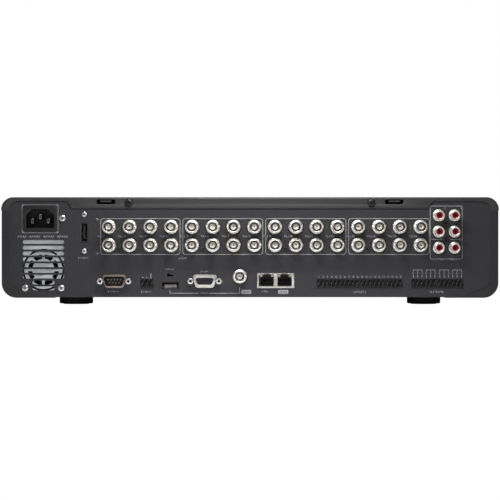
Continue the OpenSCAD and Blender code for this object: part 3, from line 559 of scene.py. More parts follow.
def dust_group():
    """A mask of thin dust that settles on faces that look up."""
    takes = [("Amount", "Float", 0.2)]
    group, start, end = new_group("settled_dust", takes, [("Mask", "Float")])
    normal = add_node(group, "NewGeometry").outputs["Normal"]
    up = add_node(group, "SeparateXYZ", {0: normal}).outputs["Z"]
    flat = add_node(group, "MapRange", {"Value": up, "From Min": 0.6, "From Max": 1.0})
    place = add_node(group, "TexCoord").outputs["Object"]
    clouds = add_node(group, "TexNoise", {"Vector": place, "Scale": 24.0, "Detail": 8.0, "Roughness": 0.65})
    cloud = clouds.outputs["Fac"]
    patches = add_node(group, "MapRange", {"Value": cloud, "From Min": 0.35, "From Max": 0.75})
    laid = add_node(group, "Math", {0: flat.outputs[0], 1: patches.outputs[0]}, operation="MULTIPLY")
    scaled = add_node(group, "Math", {0: laid.outputs[0], 1: start.outputs["Amount"]}, operation="MULTIPLY")
    group.links.new(scaled.outputs[0], end.inputs["Mask"])
    return group


def spangle_group():
    """The crystal pattern of galvanised sheet, as a tone from 0 to 1."""
    takes = [("Scale", "Float", 160.0)]
    group, start, end = new_group("spangle", takes, [("Tone", "Float")])
    place = add_node(group, "TexCoord").outputs["Object"]
    warp = add_node(group, "TexNoise", {"Vector": place, "Scale": 90.0, "Detail": 3.0})
    moved = add_node(group, "VectorMath", {0: warp.outputs["Color"], "Scale": 0.01}, operation="SCALE")
    shifted = add_node(group, "VectorMath", {0: place, 1: moved.outputs[0]}, operation="ADD")
    cells = add_node(group, "TexVoronoi", {"Vector": shifted.outputs[0], "Scale": start.outputs["Scale"]})
    tone = add_node(group, "SeparateColor", {0: cells.outputs["Color"]})
    group.links.new(tone.outputs[0], end.inputs["Tone"])
    return group


def use_group(tree, name, **values):
    """Places a shared group in a material with its own values."""
    node = tree.nodes.new("ShaderNodeGroup")
    node.node_tree = bpy.data.node_groups[name]
    for key, value in values.items():
        socket = node.inputs[key.capitalize()]
        if isinstance(value, bpy.types.NodeSocket):
            tree.links.new(value, socket)
        else:
            socket.default_value = value
    return node


def rgba(colour, gain=1.0):
    """A colour with its alpha, brightened by gain."""
    return (*(min(part * gain, 1.0) for part in colour[:3]), 1.0)


def surface(
    name,
    colour,
    rough=(0.4, 0.5),
    metallic=0.0,
    other=0.75,
    mottle=30.0,
    grain=None,
    wear=None,
    dust=0.0,
    **sockets,
):
    """A finish with mottled colour and roughness, and any of grain, worn edges and dust.

    grain is (scale, depth, stretch); wear is (radius, amount, colour); other is the second
    colour or the gain that makes it; sockets are the shader's own plain values."""
    material = bpy.data.materials.new(name)
    material.use_nodes = True
    tree = material.node_tree
    shader = tree.nodes["Principled BSDF"]
    shader.inputs["Metallic"].default_value = metallic
    for key, value in sockets.items():
        shader.inputs[key.replace("_", " ").title().replace("Ior", "IOR")].default_value = value
    second = rgba(colour, other) if isinstance(other, float) else rgba(other)
    cloud = use_group(tree, "mottle", colour=rgba(colour), other=second, scale=mottle)
    tint, mask = cloud.outputs["Colour"], cloud.outputs["Mask"]
    if wear:
        worn = use_group(tree, "worn_edges", radius=wear[0], amount=wear[1])
        tint = blend_colours(tree, worn.outputs["Mask"], tint, rgba(wear[2]))
    if dust:
        laid = use_group(tree, "settled_dust", amount=dust)
        tint = blend_colours(tree, laid.outputs["Mask"], tint, (0.32, 0.3, 0.27, 1.0))
    tree.links.new(tint, shader.inputs["Base Color"])
    gloss = add_node(tree, "MapRange", {"Value": mask, "To Min": rough[0], "To Max": rough[1]})
    tree.links.new(gloss.outputs[0], shader.inputs["Roughness"])
    if grain:
        texture = use_group(tree, "grain", scale=grain[0], stretch=grain[2] if len(grain) > 2 else (1, 1, 1))
        height = texture.outputs["Height"]
        bump = add_node(tree, "Bump", {"Height": height, "Distance": grain[1], "Strength": 1.0})
        tree.links.new(bump.outputs[0], shader.inputs["Normal"])
    return material


# ---------- finishes ----------


def powder_coat(name, colour):
    """Sprayed powder coat, rubbed at its edges and dusty on top."""
    return surface(
        name,
        colour,
        rough=(0.5, 0.62),
        specular_ior_level=0.08,
        other=0.86,
        grain=(1500.0, 0.000025),
        wear=(0.0006, 0.35, (0.13, 0.13, 0.135)),
        dust=0.05,
    )


def cover_paint():
    """Charcoal coat of the lid."""
    return powder_coat("cover_paint", colours().cover)


def case_paint():
    """Darker charcoal coat of the base."""
    return powder_coat("case_paint", colours().base)


def panel_paint():
    """Black paint of the rear panel."""
    return surface(
        "panel_paint",
        colours().panel,
        rough=(0.5, 0.6),
        specular_ior_level=0.08,
        other=0.86,
        mottle=14.0,
        grain=(1700.0, 0.00002),
        wear=(0.0003, 0.3, (0.09, 0.09, 0.09)),
    )


def ink():
    """Light grey screen print, slightly broken."""
    return surface(
        "ink",
        colours().ink,
        rough=(0.5, 0.65),
        specular_ior_level=0.2,
        other=0.8,
        mottle=300.0,
        grain=(2600.0, 0.000008),
    )


def nickel():
    """Turned and plated barrels."""
    return surface(
        "nickel",
        colours().nickel,
        rough=(0.13, 0.22),
        metallic=1.0,
        other=0.86,
        mottle=120.0,
        grain=(700.0, 0.000006, (1, 14, 1)),
    )


def tin_plate():
    """Stamped and tin-plated shields."""
    return surface(
        "tin_plate",
        (0.68, 0.665, 0.635),
        rough=(0.26, 0.4),
        metallic=1.0,
        other=0.84,
        mottle=200.0,
        grain=(900.0, 0.000008, (1, 1, 6)),
    )


def warm_tin():
    """Yellowed plating of the serial port."""
    return surface(
        "warm_tin",
        (0.36, 0.31, 0.285),
        rough=(0.26, 0.4),
        metallic=1.0,
        other=0.8,
        mottle=220.0,
        grain=(900.0, 0.000006),
    )


def bright_zinc():
    """Plated screws and nuts."""
    return surface(
        "bright_zinc",
        (0.8, 0.79, 0.76),
        rough=(0.2, 0.34),
        metallic=1.0,
        other=0.85,
        mottle=260.0,
        grain=(1400.0, 0.000006),
    )


def gold():
    """Plated contacts."""
    return surface("gold", (0.83, 0.6, 0.26), rough=(0.18, 0.3), metallic=1.0, other=0.9, mottle=300.0)


def galvanised():
    """Zinc-coated sheet with its spangle."""
    material = surface(
        "galvanised",
        (0.95, 0.96, 0.97),
        rough=(0.26, 0.38),
        metallic=1.0,
        other=0.9,
        mottle=60.0,
        grain=(600.0, 0.00001),
    )
    tree = material.node_tree
    shader = tree.nodes["Principled BSDF"]
    cells = use_group(tree, "spangle", scale=150.0)
    tone = add_node(tree, "MapRange", {"Value": cells.outputs["Tone"], "To Min": 0.75, "To Max": 1.0})
    tint = shader.inputs["Base Color"].links[0].from_socket
    tree.links.new(blend_colours(tree, 1.0, tint, tone.outputs[0], "MULTIPLY"), shader.inputs["Base Color"])
    return material


def black_moulding():
    """Glass-filled black plastic of the connectors."""
    return surface(
        "black_moulding",
        (0.013, 0.013, 0.0135),
        rough=(0.38, 0.5),
        specular_ior_level=0.35,
        other=0.7,
        mottle=160.0,
        grain=(1300.0, 0.00002),
    )


def foot_plastic():
    """Grained plastic of the feet."""
    return surface(
        "foot_plastic",
        (0.055, 0.055, 0.057),
        rough=(0.34, 0.46),
        other=0.7,
        mottle=90.0,
        grain=(1100.0, 0.00003),
        wear=(0.0005, 0.25, (0.05, 0.05, 0.05)),
    )


def pad_rubber():
    """Soft rubber under the feet."""
    return surface(
        "pad_rubber", (0.01, 0.01, 0.01), rough=(0.75, 0.9), other=1.6, mottle=200.0, grain=(900.0, 0.00006)
    )


def black_oxide():
    """Blackened screws."""
    return surface(
        "black_oxide",
        (0.02, 0.02, 0.021),
        rough=(0.3, 0.42),
        metallic=0.6,
        other=1.5,
        mottle=400.0,
        wear=(0.0003, 0.4, (0.06, 0.06, 0.06)),
    )


def white_insulator():
    """White plastic round the centre contacts."""
    return surface(
        "white_insulator",
        (0.66, 0.62, 0.56),
        rough=(0.35, 0.5),
        other=0.88,
        mottle=300.0,
        grain=(1800.0, 0.00001),
    )


def red_insulator():
    """Dark red plastic inside the audio jacks."""
    return surface(
        "red_insulator",
        colours().insert,
        rough=(0.35, 0.45),
        specular_ior_level=0.25,
        other=0.8,
        mottle=300.0,
    )


def lamp_window():
    """Pale windows of the socket lamps, unlit."""
    return surface("lamp_window", (0.3, 0.28, 0.2), rough=(0.2, 0.3), other=0.7, mottle=500.0)


def gloss_black():
    """Gloss moulding of the front, with faint polishing haze."""
    return surface(
        "gloss_black",
        (0.006, 0.006, 0.0065),
        rough=(0.07, 0.15),
        other=1.5,
        mottle=16.0,
        grain=(240.0, 0.000002),
        wear=(0.0006, 0.2, (0.05, 0.05, 0.05)),
        dust=0.03,
        coat_weight=0.6,
    )


def smoked_acrylic():
    """Smoked window of the front."""
    return surface(
        "smoked_acrylic", (0.012, 0.004, 0.008), rough=(0.03, 0.07), other=1.4, mottle=20.0, coat_weight=1.0
    )


def key_plastic():
    """Satin keys, slightly polished by fingers."""
    return surface(
        "key_plastic",
        (0.03, 0.03, 0.032),
        rough=(0.32, 0.48),
        other=0.8,
        mottle=110.0,
        grain=(1500.0, 0.000016),
        wear=(0.0005, 0.3, (0.12, 0.12, 0.12)),
    )


def spun_aluminium():
    """Dial face with turning rings about the dial's centre."""
    material = surface(
        "spun_aluminium",
        (0.66, 0.67, 0.69),
        rough=(0.22, 0.34),
        metallic=1.0,
        other=0.9,
        mottle=60.0,
        anisotropic=0.4,
    )
    tree = material.node_tree
    x, z = dial_centre()
    place = add_node(tree, "TexCoord").outputs["Object"]
    centred = add_node(tree, "Mapping", {"Vector": place, "Location": (-x, 0, -z)})
    rings = add_node(
        tree,
        "TexWave",
        {"Vector": centred.outputs[0], "Scale": 900.0, "Distortion": 0.4, "Detail": 2.0},
        wave_type="RINGS",
        rings_direction="Y",
    )
    bump = add_node(tree, "Bump", {"Height": rings.outputs["Fac"], "Distance": 0.00001, "Strength": 1.0})
    tree.links.new(bump.outputs[0], tree.nodes["Principled BSDF"].inputs["Normal"])
    return material


def soft_rubber():
    """Rubbery coat of the shuttle ring."""
    return surface(
        "soft_rubber",
        (0.016, 0.016, 0.018),
        rough=(0.5, 0.62),
        other=1.3,
        mottle=80.0,
        grain=(1400.0, 0.00002),
        dust=0.06,
    )


def circuit_board():
    """Green board with traces under its mask and pale holes."""
    material = surface(
        "circuit_board", (0.008, 0.09, 0.032), rough=(0.2, 0.34), other=0.7, mottle=50.0, coat_weight=0.5
    )
    tree = material.node_tree
    shader = tree.nodes["Principled BSDF"]
    place = add_node(tree, "TexCoord").outputs["Object"]
    maze = add_node(tree, "TexBrick", {"Vector": place, "Scale": 120.0, "Mortar Size": 0.03})
    tint = shader.inputs["Base Color"].links[0].from_socket
    traced = blend_colours(tree, maze.outputs["Fac"], tint, (0.02, 0.2, 0.07, 1.0))
    holes = add_node(tree, "TexVoronoi", {"Vector": place, "Scale": 210.0, "Randomness": 0.7})
    dots = add_node(tree, "MapRange", {"Value": holes.outputs["Distance"], "From Min": 0.13, "From Max": 0.1})
    tree.links.new(
        blend_colours(tree, dots.outputs[0], traced, (0.6, 0.58, 0.5, 1.0)), shader.inputs["Base Color"]
    )
    return material


def tan_laminate():
    """Single-sided board of the supply."""
    return surface(
        "tan_laminate", (0.3, 0.2, 0.08), rough=(0.4, 0.6), other=0.7, mottle=80.0, grain=(500.0, 0.00003)
    )


def wound_parts():
    """Taped transformer and sleeved capacitors."""
    return surface("wound_parts", (0.42, 0.3, 0.06), rough=(0.3, 0.5), other=(0.05, 0.06, 0.1), mottle=40.0)


def cast_metal():
    """Cast and anodised aluminium of drives and coolers."""
    return surface(
        "cast_metal",
        (0.5, 0.51, 0.53),
        rough=(0.36, 0.5),
        metallic=1.0,
        other=0.82,
        mottle=70.0,
        grain=(500.0, 0.00002),
    )


def brass():
    """Turned brass posts."""
    return surface("brass", (0.72, 0.5, 0.2), rough=(0.25, 0.38), metallic=1.0, other=0.85, mottle=150.0)


def latch_plastic():
    """Dark grey plastic of the terminals' latches."""
    return surface("latch_plastic", (0.035, 0.035, 0.037), rough=(0.3, 0.45), other=0.7, mottle=260.0)


def dark_bore():
    """Dark metal for the faces deep inside the jacks, nuts, screw recesses, sockets and inlet: painted shade
    where little light reaches.
    """
    return surface("dark_bore", (0.03, 0.024, 0.02), rough=(0.4, 0.55), metallic=0.6, other=0.6, mottle=400.0)


def dull_tin():
    """Tin plating darkened to stand for tin in shade inside the ports and bores: painted shade."""
    return surface(
        "dull_tin",
        (0.3, 0.29, 0.28),
        rough=(0.35, 0.5),
        metallic=1.0,
        other=0.7,
        mottle=260.0,
        grain=(900.0, 0.00001),
    )


def brown_plastic():
    """Dark brown plastic of the serial port."""
    return surface("brown_plastic", (0.03, 0.016, 0.01), rough=(0.35, 0.5), other=0.7, mottle=260.0)


def lit_lens(name, colour):
    """A lit lamp lens."""
    return surface(
        name,
        colour,
        rough=(0.2, 0.3),
        other=0.8,
        mottle=600.0,
        emission_color=rgba(colour),
        emission_strength=1.6,
    )


def green_lamp():
    """Power lamp."""
    return lit_lens("green_lamp", (0.02, 0.6, 0.08))


def red_lamp():
    """Recording lamp."""
    return lit_lens("red_lamp", (0.7, 0.02, 0.01))


def amber_lamp():
    """Network lamp."""
    return lit_lens("amber_lamp", (0.75, 0.3, 0.01))


FINISHES = (
    cover_paint, case_paint, panel_paint, ink, nickel, tin_plate, warm_tin, bright_zinc, gold,
    galvanised, black_moulding, foot_plastic, pad_rubber, black_oxide, white_insulator,
    red_insulator, lamp_window, gloss_black, smoked_acrylic, key_plastic, spun_aluminium,
    soft_rubber, circuit_board, tan_laminate, wound_parts, cast_metal, brass, latch_plastic,
    dark_bore, dull_tin, brown_plastic, green_lamp, red_lamp, amber_lamp,
)


def finish(name):
    """A finish made earlier."""
    return bpy.data.materials[name]


def node_centre(node):
    """The middle of a CAD node across the front, as (x, z)."""
    low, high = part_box(node)
    return (low.x + high.x) / 2, (low.z + high.z) / 2


def dial_centre():
    """The axis of the dial and its ring, as (x, z)."""
    return node_centre("shuttle_ring")


# ---------- case ----------


def outline_gap(x, z):
    """How far inside the case's rounded cross-section a point lies."""
    low, high = CASE_LOW.z, CASE_HIGH.z
    upper = z > (low + high) / 2
    radius = LID_CORNER if upper else BASE_CORNER
    across = abs(x) - (CASE_HIGH.x - radius)
    up = z - (high - radius) if upper else (low + radius) - z
    if across > 0 and up > 0:
        return radius - Vector((across, up)).length
    return min(CASE_HIGH.x - abs(x), z - low, high - z)


def is_rear_bend(edge):
    """True on the folds between the case's sides and its rear flanges."""
    return all(
        corner.co.y > REAR_Y - 0.01 * MM and outline_gap(corner.co.x, corner.co.z) < 0.7 * MM
        for corner in edge.verts
    )


def make_shell(node, paint):
    """The lid or the base, with folded rear edges and eased cut edges."""
    piece = merged_copy(node, node + "_sheet")
    round_edges(piece, is_rear_bend, sizes().bend, 4)
    ease(piece, sizes().edge)
    return settle(piece, finish(paint), [node])


def make_rear_panel():
    """The rear panel, with its two hooks in the lid's paint."""
    piece = merged_copy("rear_panel", "rear_panel_sheet")
    small_holes, skipped = Vector(spot("av_port")), 20 * MM
    sharp, eased = 0.6, 0.1 * MM

    def on_front(edge):
        """True on the openings' front edges, apart from the small holes close together."""
        level = all(abs(corner.co.y - PANEL_Y) < 0.01 * MM for corner in edge.verts)
        if not level or not edge.is_manifold or edge.calc_face_angle() <= sharp:
            return False
        at = middle(edge)
        return (Vector((at.x, at.z)) - small_holes).length > skipped

    round_edges(piece, on_front, eased, 1)
    settle(piece, finish("panel_paint"), ["rear_panel"])
    return painted(piece, "cover_paint", between("y", PANEL_Y + 0.1 * MM))


# Kept shapes that only need their edges eased: node, finish, edge width in millimetres
EASED = (
    ("psu_case", "galvanised", 0.1),
    ("psu_lid", "galvanised", 0.1),
    ("psu_fan_frame", "black_moulding", 0.2),
    ("psu_board", "tan_laminate", 0.1),
    ("psu_parts", "wound_parts", 0.4),
    ("psu_harness", "black_moulding", 0.3),
    ("main_board", "circuit_board", 0.1),
    ("video_board", "circuit_board", 0.1),
    ("board_standoffs", "brass", 0.2),
    ("processor_heatsink", "cast_metal", 0.15),
    ("video_jack_blocks", "black_moulding", 0.3),
    ("audio_jack_block", "black_moulding", 0.3),
    ("hard_drives", "cast_metal", 0.6),
    ("drive_cage", "galvanised", 0.2),
    ("disc_drive_case", "galvanised", 0.3),
    ("disc_drive_mechanism", "black_moulding", 0.4),
    ("control_board", "circuit_board", 0.1),
)


def make_inner_parts():
    """The parts inside, each with eased edges and its own finish."""
    for node, look, width in EASED:
        kept_shape(node, look, width)


# ---------- marks on the rear panel ----------


def stroke(low, high, y):
    """A thin printed bar between two (x, z) corners."""
    ink_depth = sizes().ink
    return block("stroke", (low[0], y - ink_depth / 2, low[1]), (high[0], y + ink_depth, high[1]))


def bar_mark(centre, size, y=None):
    """A printed bar about its centre, in millimetres."""
    x, z, w, h = (value * MM for value in (*centre, *size))
    return stroke((x - w / 2, z - h / 2), (x + w / 2, z + h / 2), PANEL_Y if y is None else y)


# Strokes of the plain shapes that stand for print: left, low, width and height in parts of a cell
SHAPES = (
    ((0.0, 0.0, 0.18, 1.0), (0.18, 0.42, 0.5, 0.18)),
    ((0.0, 0.0, 0.7, 0.18), (0.26, 0.18, 0.18, 0.8)),
    ((0.0, 0.8, 0.7, 0.2), (0.5, 0.1, 0.2, 0.7)),
    ((0.1, 0.3, 0.2, 0.5), (0.45, 0.3, 0.2, 0.7)),
    ((0.0, 0.4, 0.66, 0.2),),
    ((0.0, 0.0, 0.2, 0.6), (0.2, 0.5, 0.46, 0.2), (0.5, 0.6, 0.18, 0.4)),
)


def word_mark(centre, length, height):
    """A row of plain shapes that stands for a printed word, in millimetres."""
    x, z = centre
    count = max(2, round(length / (height * 0.8)))
    cell = length / count
    marks = []
    for i in range(count):
        if i % 6 == 4 and count > 8:
            continue
        for left, low, w, h in SHAPES[(i * i + 3 * i + count) % len(SHAPES)]:
            across = x + length / 2 - i * cell - (left + w / 2) * cell
            marks.append(bar_mark((across, z + (low + h / 2 - 0.5) * height), (w * cell, h * height)))
    return marks


def frame_mark(left, right, top, bottom, radius=2.6):
    """A printed outline with round corners, in millimetres."""
    at = ((left + right) / 2 * MM, (top + bottom) / 2 * MM)
    size = (abs(left - right) * MM, abs(top - bottom) * MM)
    line, ink_depth = sizes().line, sizes().ink
    outer = rounded_block("frame", at, size, PANEL_Y - ink_depth / 2, PANEL_Y + ink_depth, radius * MM, 6)
    inner_size = (size[0] - 2 * line, size[1] - 2 * line)
    inner_radius = max(radius * MM - line, 0.1 * MM)
    inner = rounded_block("hole", at, inner_size, PANEL_Y - 1 * MM, PANEL_Y + 1 * MM, inner_radius, 6)
    return cut(outer, inner)


def numeral(text, x, z, height, y, rear=True):
    """A printed number or sign, as a thin mesh that faces out of the rear or the front."""
    deselect()
    turn = (pi / 2, 0, pi if rear else 0)
    bpy.ops.object.text_add(location=(x * MM, y, z * MM), rotation=turn)
    text_object = bpy.context.object
    text_object.data.body = text
    text_object.data.size = height * MM / CAPITAL
    text_object.data.align_x, text_object.data.align_y = "CENTER", "CENTER"
    text_object.data.extrude = sizes().ink
    text_object.data.resolution_u = 3
    bpy.ops.object.convert(target="MESH")
    return added("numeral")


def jack_marks():
    """Outlines round the groups of video jacks, with channel numbers and row signs."""
    top, bottom = 76.5, 44.4
    spans = ((132.3, 61.6), (59.6, -11.5), (-13.6, -85.0), (-86.8, -158.7))
    marks = [frame_mark(left, right, top, bottom) for left, right in spans]
    for i in range(COLUMNS):
        x = JACKS[i][0] / MM + 6.9
        marks += word_mark((x + 1.1, 60.75), 4.6, 1.7)
        marks.append(numeral(str(i + 1), x - 2.6, 60.75, 1.9, PANEL_Y))
    for z in (top - 1.0, bottom + 1.0):
        marks += word_mark((spans[0][0] + 2.3, z), 3.4, 1.9)
    marks += word_mark((59.4, 41.0), 7.4, 1.9)
    return marks


def audio_marks():
    """Outline and divider round the audio jacks."""
    left, right, top, bottom, divider = -159.1, -187.8, 87.6, 40.3, 58.0
    width = sizes().line / MM
    marks = [frame_mark(left, right, top, bottom, 1.6)]
    for x0, x1 in ((left, -170.6), (-177.2, right)):
        marks.append(bar_mark(((x0 + x1) / 2, divider), (x0 - x1 - width, width)))
    marks += word_mark((-169.0, bottom + 0.3), 5.6, 2.0) + word_mark((-177.6, bottom + 0.3), 5.0, 2.0)
    for i, (x, z) in enumerate(AUDIO_JACKS):
        marks.append(numeral(str(i + 1), x / MM - 5.6, z / MM + 6.2, 1.5, PANEL_Y))
    return marks


def terminal_marks():
    """Numbers over the alarm inputs, contact signs over the outputs, words under both."""
    marks = []
    labels = "1 2 3 4 G 5 6 7 8 G 9 10 11 12 G 13 14 15 16 G".split()
    poles = [x for name in ("alarm_in_1", "alarm_in_2") for x in pole_places(name)]
    for label, x in zip(labels, poles):
        marks.append(numeral(label, x / MM, 24.7, 1.9 if len(label) == 1 else 1.6, PANEL_Y))
    for name in ("alarm_out_1", "alarm_out_2"):
        places = pole_places(name)
        for group in (places[:3], places[3:]):
            middle_x = group[1] / MM
            marks.append(bar_mark((middle_x, 30.9), (8.6, 0.4)))
            for k, x in enumerate(group):
                x /= MM
                marks.append(bar_mark((x, 30.2), (0.4, 1.5)))
                marks.append(bar_mark((x, 25.3), (0.5, 2.6)))
                marks.append(bar_mark((x + (0.5, 0, -0.5)[k], 27.8), (0.9, 0.5)))
                marks.append(bar_mark((x, 28.8), (0.4, 0.8)))
    marks += word_mark((-97.2, 11.5), 11.2, 2.1)
    marks += word_mark((-165.1, 11.3), 13.0, 2.0)
    return marks


def port_marks():
    """Words by the lower ports, the bracket over the three video outputs, two inverse labels."""
    marks = []
    for centre, length, height in (
        ((181.8, 60.2), 47.0, 2.6),
        ((147.2, 41.5), 8.8, 1.9),
        ((120.6, 11.75), 9.8, 2.0),
        ((91.5, 11.5), 9.2, 2.0),
        ((70.6, 31.3), 7.6, 2.0),
        ((40.4, 29.3), 6.6, 1.7),
        ((40.3, 10.3), 6.8, 1.7),
        ((-13.4, 11.6), 6.2, 1.8),
    ):
        marks += word_mark(centre, length, height)
    line = 0.5
    marks.append(bar_mark((57.9, 10.3), (25.8, line)))
    marks.append(bar_mark((22.6, 10.3), (26.8, line)))
    marks.append(bar_mark((70.8, 11.5), (line, 2.8)))
    marks.append(bar_mark((9.2, 12.8), (line, 5.4)))
    low_y, high_y = PANEL_Y - 0.02 * MM, PANEL_Y + sizes().ink
    for x, w in LABELS:
        at, size = (x * MM, LABEL_Z * MM), (w * MM, 3.4 * MM)
        marks.append(rounded_block("label", at, size, low_y, high_y, 0.5 * MM))
    for centre, size in (((94.9, 24.2), (0.9, 0.9)), ((91.2, 24.0), (1.3, 0.5)), ((87.6, 25.6), (0.6, 4.6))):
        marks.append(bar_mark(centre, size))
    return marks


def pole_places(name):
    """Where the poles of a terminal header stand, from the viewer's left at the rear."""
    x, _ = spot(name)
    count = TERMINALS[name]
    return [x + ((count - 1) / 2 - i) * TERMINAL_PITCH for i in range(count)]


def make_print():
    """All the marks printed on the rear panel."""
    marks = jack_marks() + audio_marks() + terminal_marks() + port_marks()
    piece = joined("rear_panel_print", marks)
    settle(piece, finish("ink"))
    dark = [bar for x, _ in LABELS for bar in label_strokes(x)]
    settle(joined("label_letters", dark), finish("panel_paint"))


def label_strokes(x):
    """Dark tally strokes on an inverse label."""
    y = PANEL_Y + sizes().ink
    return [bar_mark((x - 2.7 + 1.35 * i, LABEL_Z), (0.45 + 0.25 * (i % 2), 1.7), y) for i in range(5)]


# ---------- video and audio jacks ----------


def make_video_jacks():
    """Bayonet jacks: turned shells with lugs, white insulators and slotted contacts."""
    at = ALL_JACKS[0]
    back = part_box("video_jack_shells")[0].y
    barrel, body = sizes().barrel, 6.45 * MM
    core, bore = 2.6 * MM, 4.05 * MM
    floor = TIP_Y - 6.2 * MM
    dome = [
        (barrel + (body - barrel) * cos(a), PANEL_Y + (1.0 + 2.2 * sin(a)) * MM)
        for a in (radians(15 * i) for i in range(7))
    ]
    lip = [
        ((barrel + bore) / 2 + (barrel - bore) / 2 * cos(a), TIP_Y - 0.4 * MM * (1 - sin(a)))
        for a in (radians(22.5 * i) for i in range(9))
    ]
    profile = [(core, back), (body, back)] + dome + lip
    profile += [(bore, TIP_Y - 1.2 * MM), (bore, floor + 0.3 * MM), (bore - 0.3 * MM, floor), (core, floor)]
    shell = turned("shell", at, profile)
    lug_y = TIP_Y - 5.4 * MM
    deselect()
    bpy.ops.mesh.primitive_cylinder_add(
        vertices=16, radius=1.0 * MM, depth=11 * MM, location=(at[0], lug_y, at[1]), rotation=(0, pi / 2, 0)
    )
    lugs = added("lugs")
    round_edges(lugs, lambda edge: abs(abs(middle(edge).x - at[0]) - 5.5 * MM) < 0.05 * MM, 0.2 * MM, 2)
    inside = bar("inside", at, lug_y - 2 * MM, lug_y + 2 * MM, bore + 0.3 * MM)
    cut(lugs, inside)
    jack = joined("jack", [shell, lugs])
    jack.data.materials.append(finish("nickel"))
    deep, mouth = floor + 0.31 * MM, bore + 0.05 * MM
    wall, end = between("y", deep, TIP_Y - 1.2 * MM), between("y", high=deep)
    # Painted shade: the bore's deeper walls in dark metal and its floor in darkened tin.
    painted(jack, "dark_bore", lambda face: wall(face) and within(face, at, mouth))
    painted(jack, "dull_tin", lambda face: end(face) and within(face, at, mouth))
    jacks = repeated("video_jack_barrels", jack, ALL_JACKS, at)
    settle(jacks, None, ["video_jack_shells"])

    low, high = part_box("video_jack_insulators")
    lip, mouth, hole = 0.25 * MM, 0.62 * MM, 1.1 * MM
    insulator = turned(
        "insulator",
        at,
        [(hole, low.y), (core, low.y), (core, high.y - lip), (core - lip, high.y), (mouth + 0.2 * MM, high.y),
         (mouth, high.y - 0.15 * MM), (mouth, high.y - 0.5 * MM), (hole, high.y - 0.5 * MM)],
        24,
    )
    settle(
        repeated("video_jack_cores", insulator, ALL_JACKS, at),
        finish("white_insulator"),
        ["video_jack_insulators"],
    )

    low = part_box("video_jack_contacts")[0]
    tip = high.y - 0.6 * MM
    contact = turned(
        "contact",
        at,
        [(0.7 * MM, tip - 8 * MM), (0.7 * MM, tip - 0.1 * MM), (0.85 * MM, tip), (1.0 * MM, tip),
         (1.08 * MM, tip - 0.15 * MM), (1.08 * MM, low.y), (0, low.y), (0, tip - 8 * MM)],
        16,
    )
    contact.data.materials.append(finish("gold"))
    open_end = between("y", low.y + MM)
    # Painted shade: the contact's open end in dark metal.
    painted(contact, "dark_bore", lambda face: within(face, at, 0.75 * MM) and open_end(face))
    sockets = repeated("video_jack_sockets", contact, ALL_JACKS, at)
    settle(sockets, None, ["video_jack_contacts"])


def make_audio_jacks():
    """Phono jacks: stepped shells with a rolled lip and red inserts."""
    at = AUDIO_JACKS[0]
    low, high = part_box("audio_jack_shells")
    collar, shell, core = 5.45 * MM, sizes().phono, 2.9 * MM
    dome = [
        (shell + (collar - shell) * cos(a), PANEL_Y + (0.7 + 1.1 * sin(a)) * MM)
        for a in (radians(18 * i) for i in range(6))
    ]
    lip = [
        ((shell + core) / 2 + (shell - core) / 2 * cos(a), high.y - 0.5 * MM * (1 - sin(a)))
        for a in (radians(22.5 * i) for i in range(9))
    ]
    profile = [(core, low.y), (collar, low.y)] + dome + lip
    piece = repeated("audio_jack_barrels", turned("phono", at, profile), AUDIO_JACKS, at)
    settle(piece, finish("nickel"), ["audio_jack_shells"])
    low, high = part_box("audio_jack_inserts")
    hole = 1.5 * MM
    profile = [
        (core, low.y), (core, high.y - 0.2 * MM), (core - 0.2 * MM, high.y), (hole + 0.5 * MM, high.y),
        (hole, high.y - 0.6 * MM), (hole, high.y - 5 * MM), (0, high.y - 5 * MM), (0, low.y),
    ]
    piece = repeated("audio_jack_cores", turned("insert", at, profile, 28), AUDIO_JACKS, at)
    settle(piece, finish("red_insulator"), ["audio_jack_inserts"])


# ---------- screws ----------


def pan_head(look, at, y, radius, height, shank, length):
    """A pan-head screw with a cross recess, driven from the rear."""
    profile = [
        (0, y - length), (shank, y - length + 0.4 * MM), (shank, y), (radius, y), (radius, y + height * 0.35),
        (radius * 0.93, y + height * 0.65), (radius * 0.78, y + height * 0.88), (radius * 0.5, y + height),
        (0, y + height),
    ]
    screw = turned("screw", at, profile, 28)
    long, narrow, deep = radius * 0.48, radius * 0.13, height * 0.6
    crosses = [
        block("slot", (at[0] - a, y + height - deep, at[1] - b), (at[0] + a, y + height * 2, at[1] + b))
        for a, b in ((long, narrow), (narrow, long))
    ]
    cut(screw, *crosses)
    screw.data.materials.append(finish(look))
    # Painted shade: the faces inside the cross recess in dark metal.
    sunk = between("y", high=y + height * 0.95)
    return painted(screw, "dark_bore", lambda face: within(face, at, long * 1.1) and sunk(face))


def node_centres(node, reach):
    """Centres (x, z) of the separate round bits of a CAD node, found by grouping its corners."""
    points = [corner.co for corner in frame["nodes"][node].data.vertices]
    groups = []
    for point in points:
        for group in groups:
            if (Vector((point.x, point.z)) - Vector(group["first"])).length < reach:
                group["points"].append(point)
                break
        else:
            groups.append({"first": (point.x, point.z), "points": [point]})
    centres = []
    for group in groups:
        xs = [point.x for point in group["points"]]
        zs = [point.z for point in group["points"]]
        centres.append(((min(xs) + max(xs)) / 2, (min(zs) + max(zs)) / 2))
    return centres


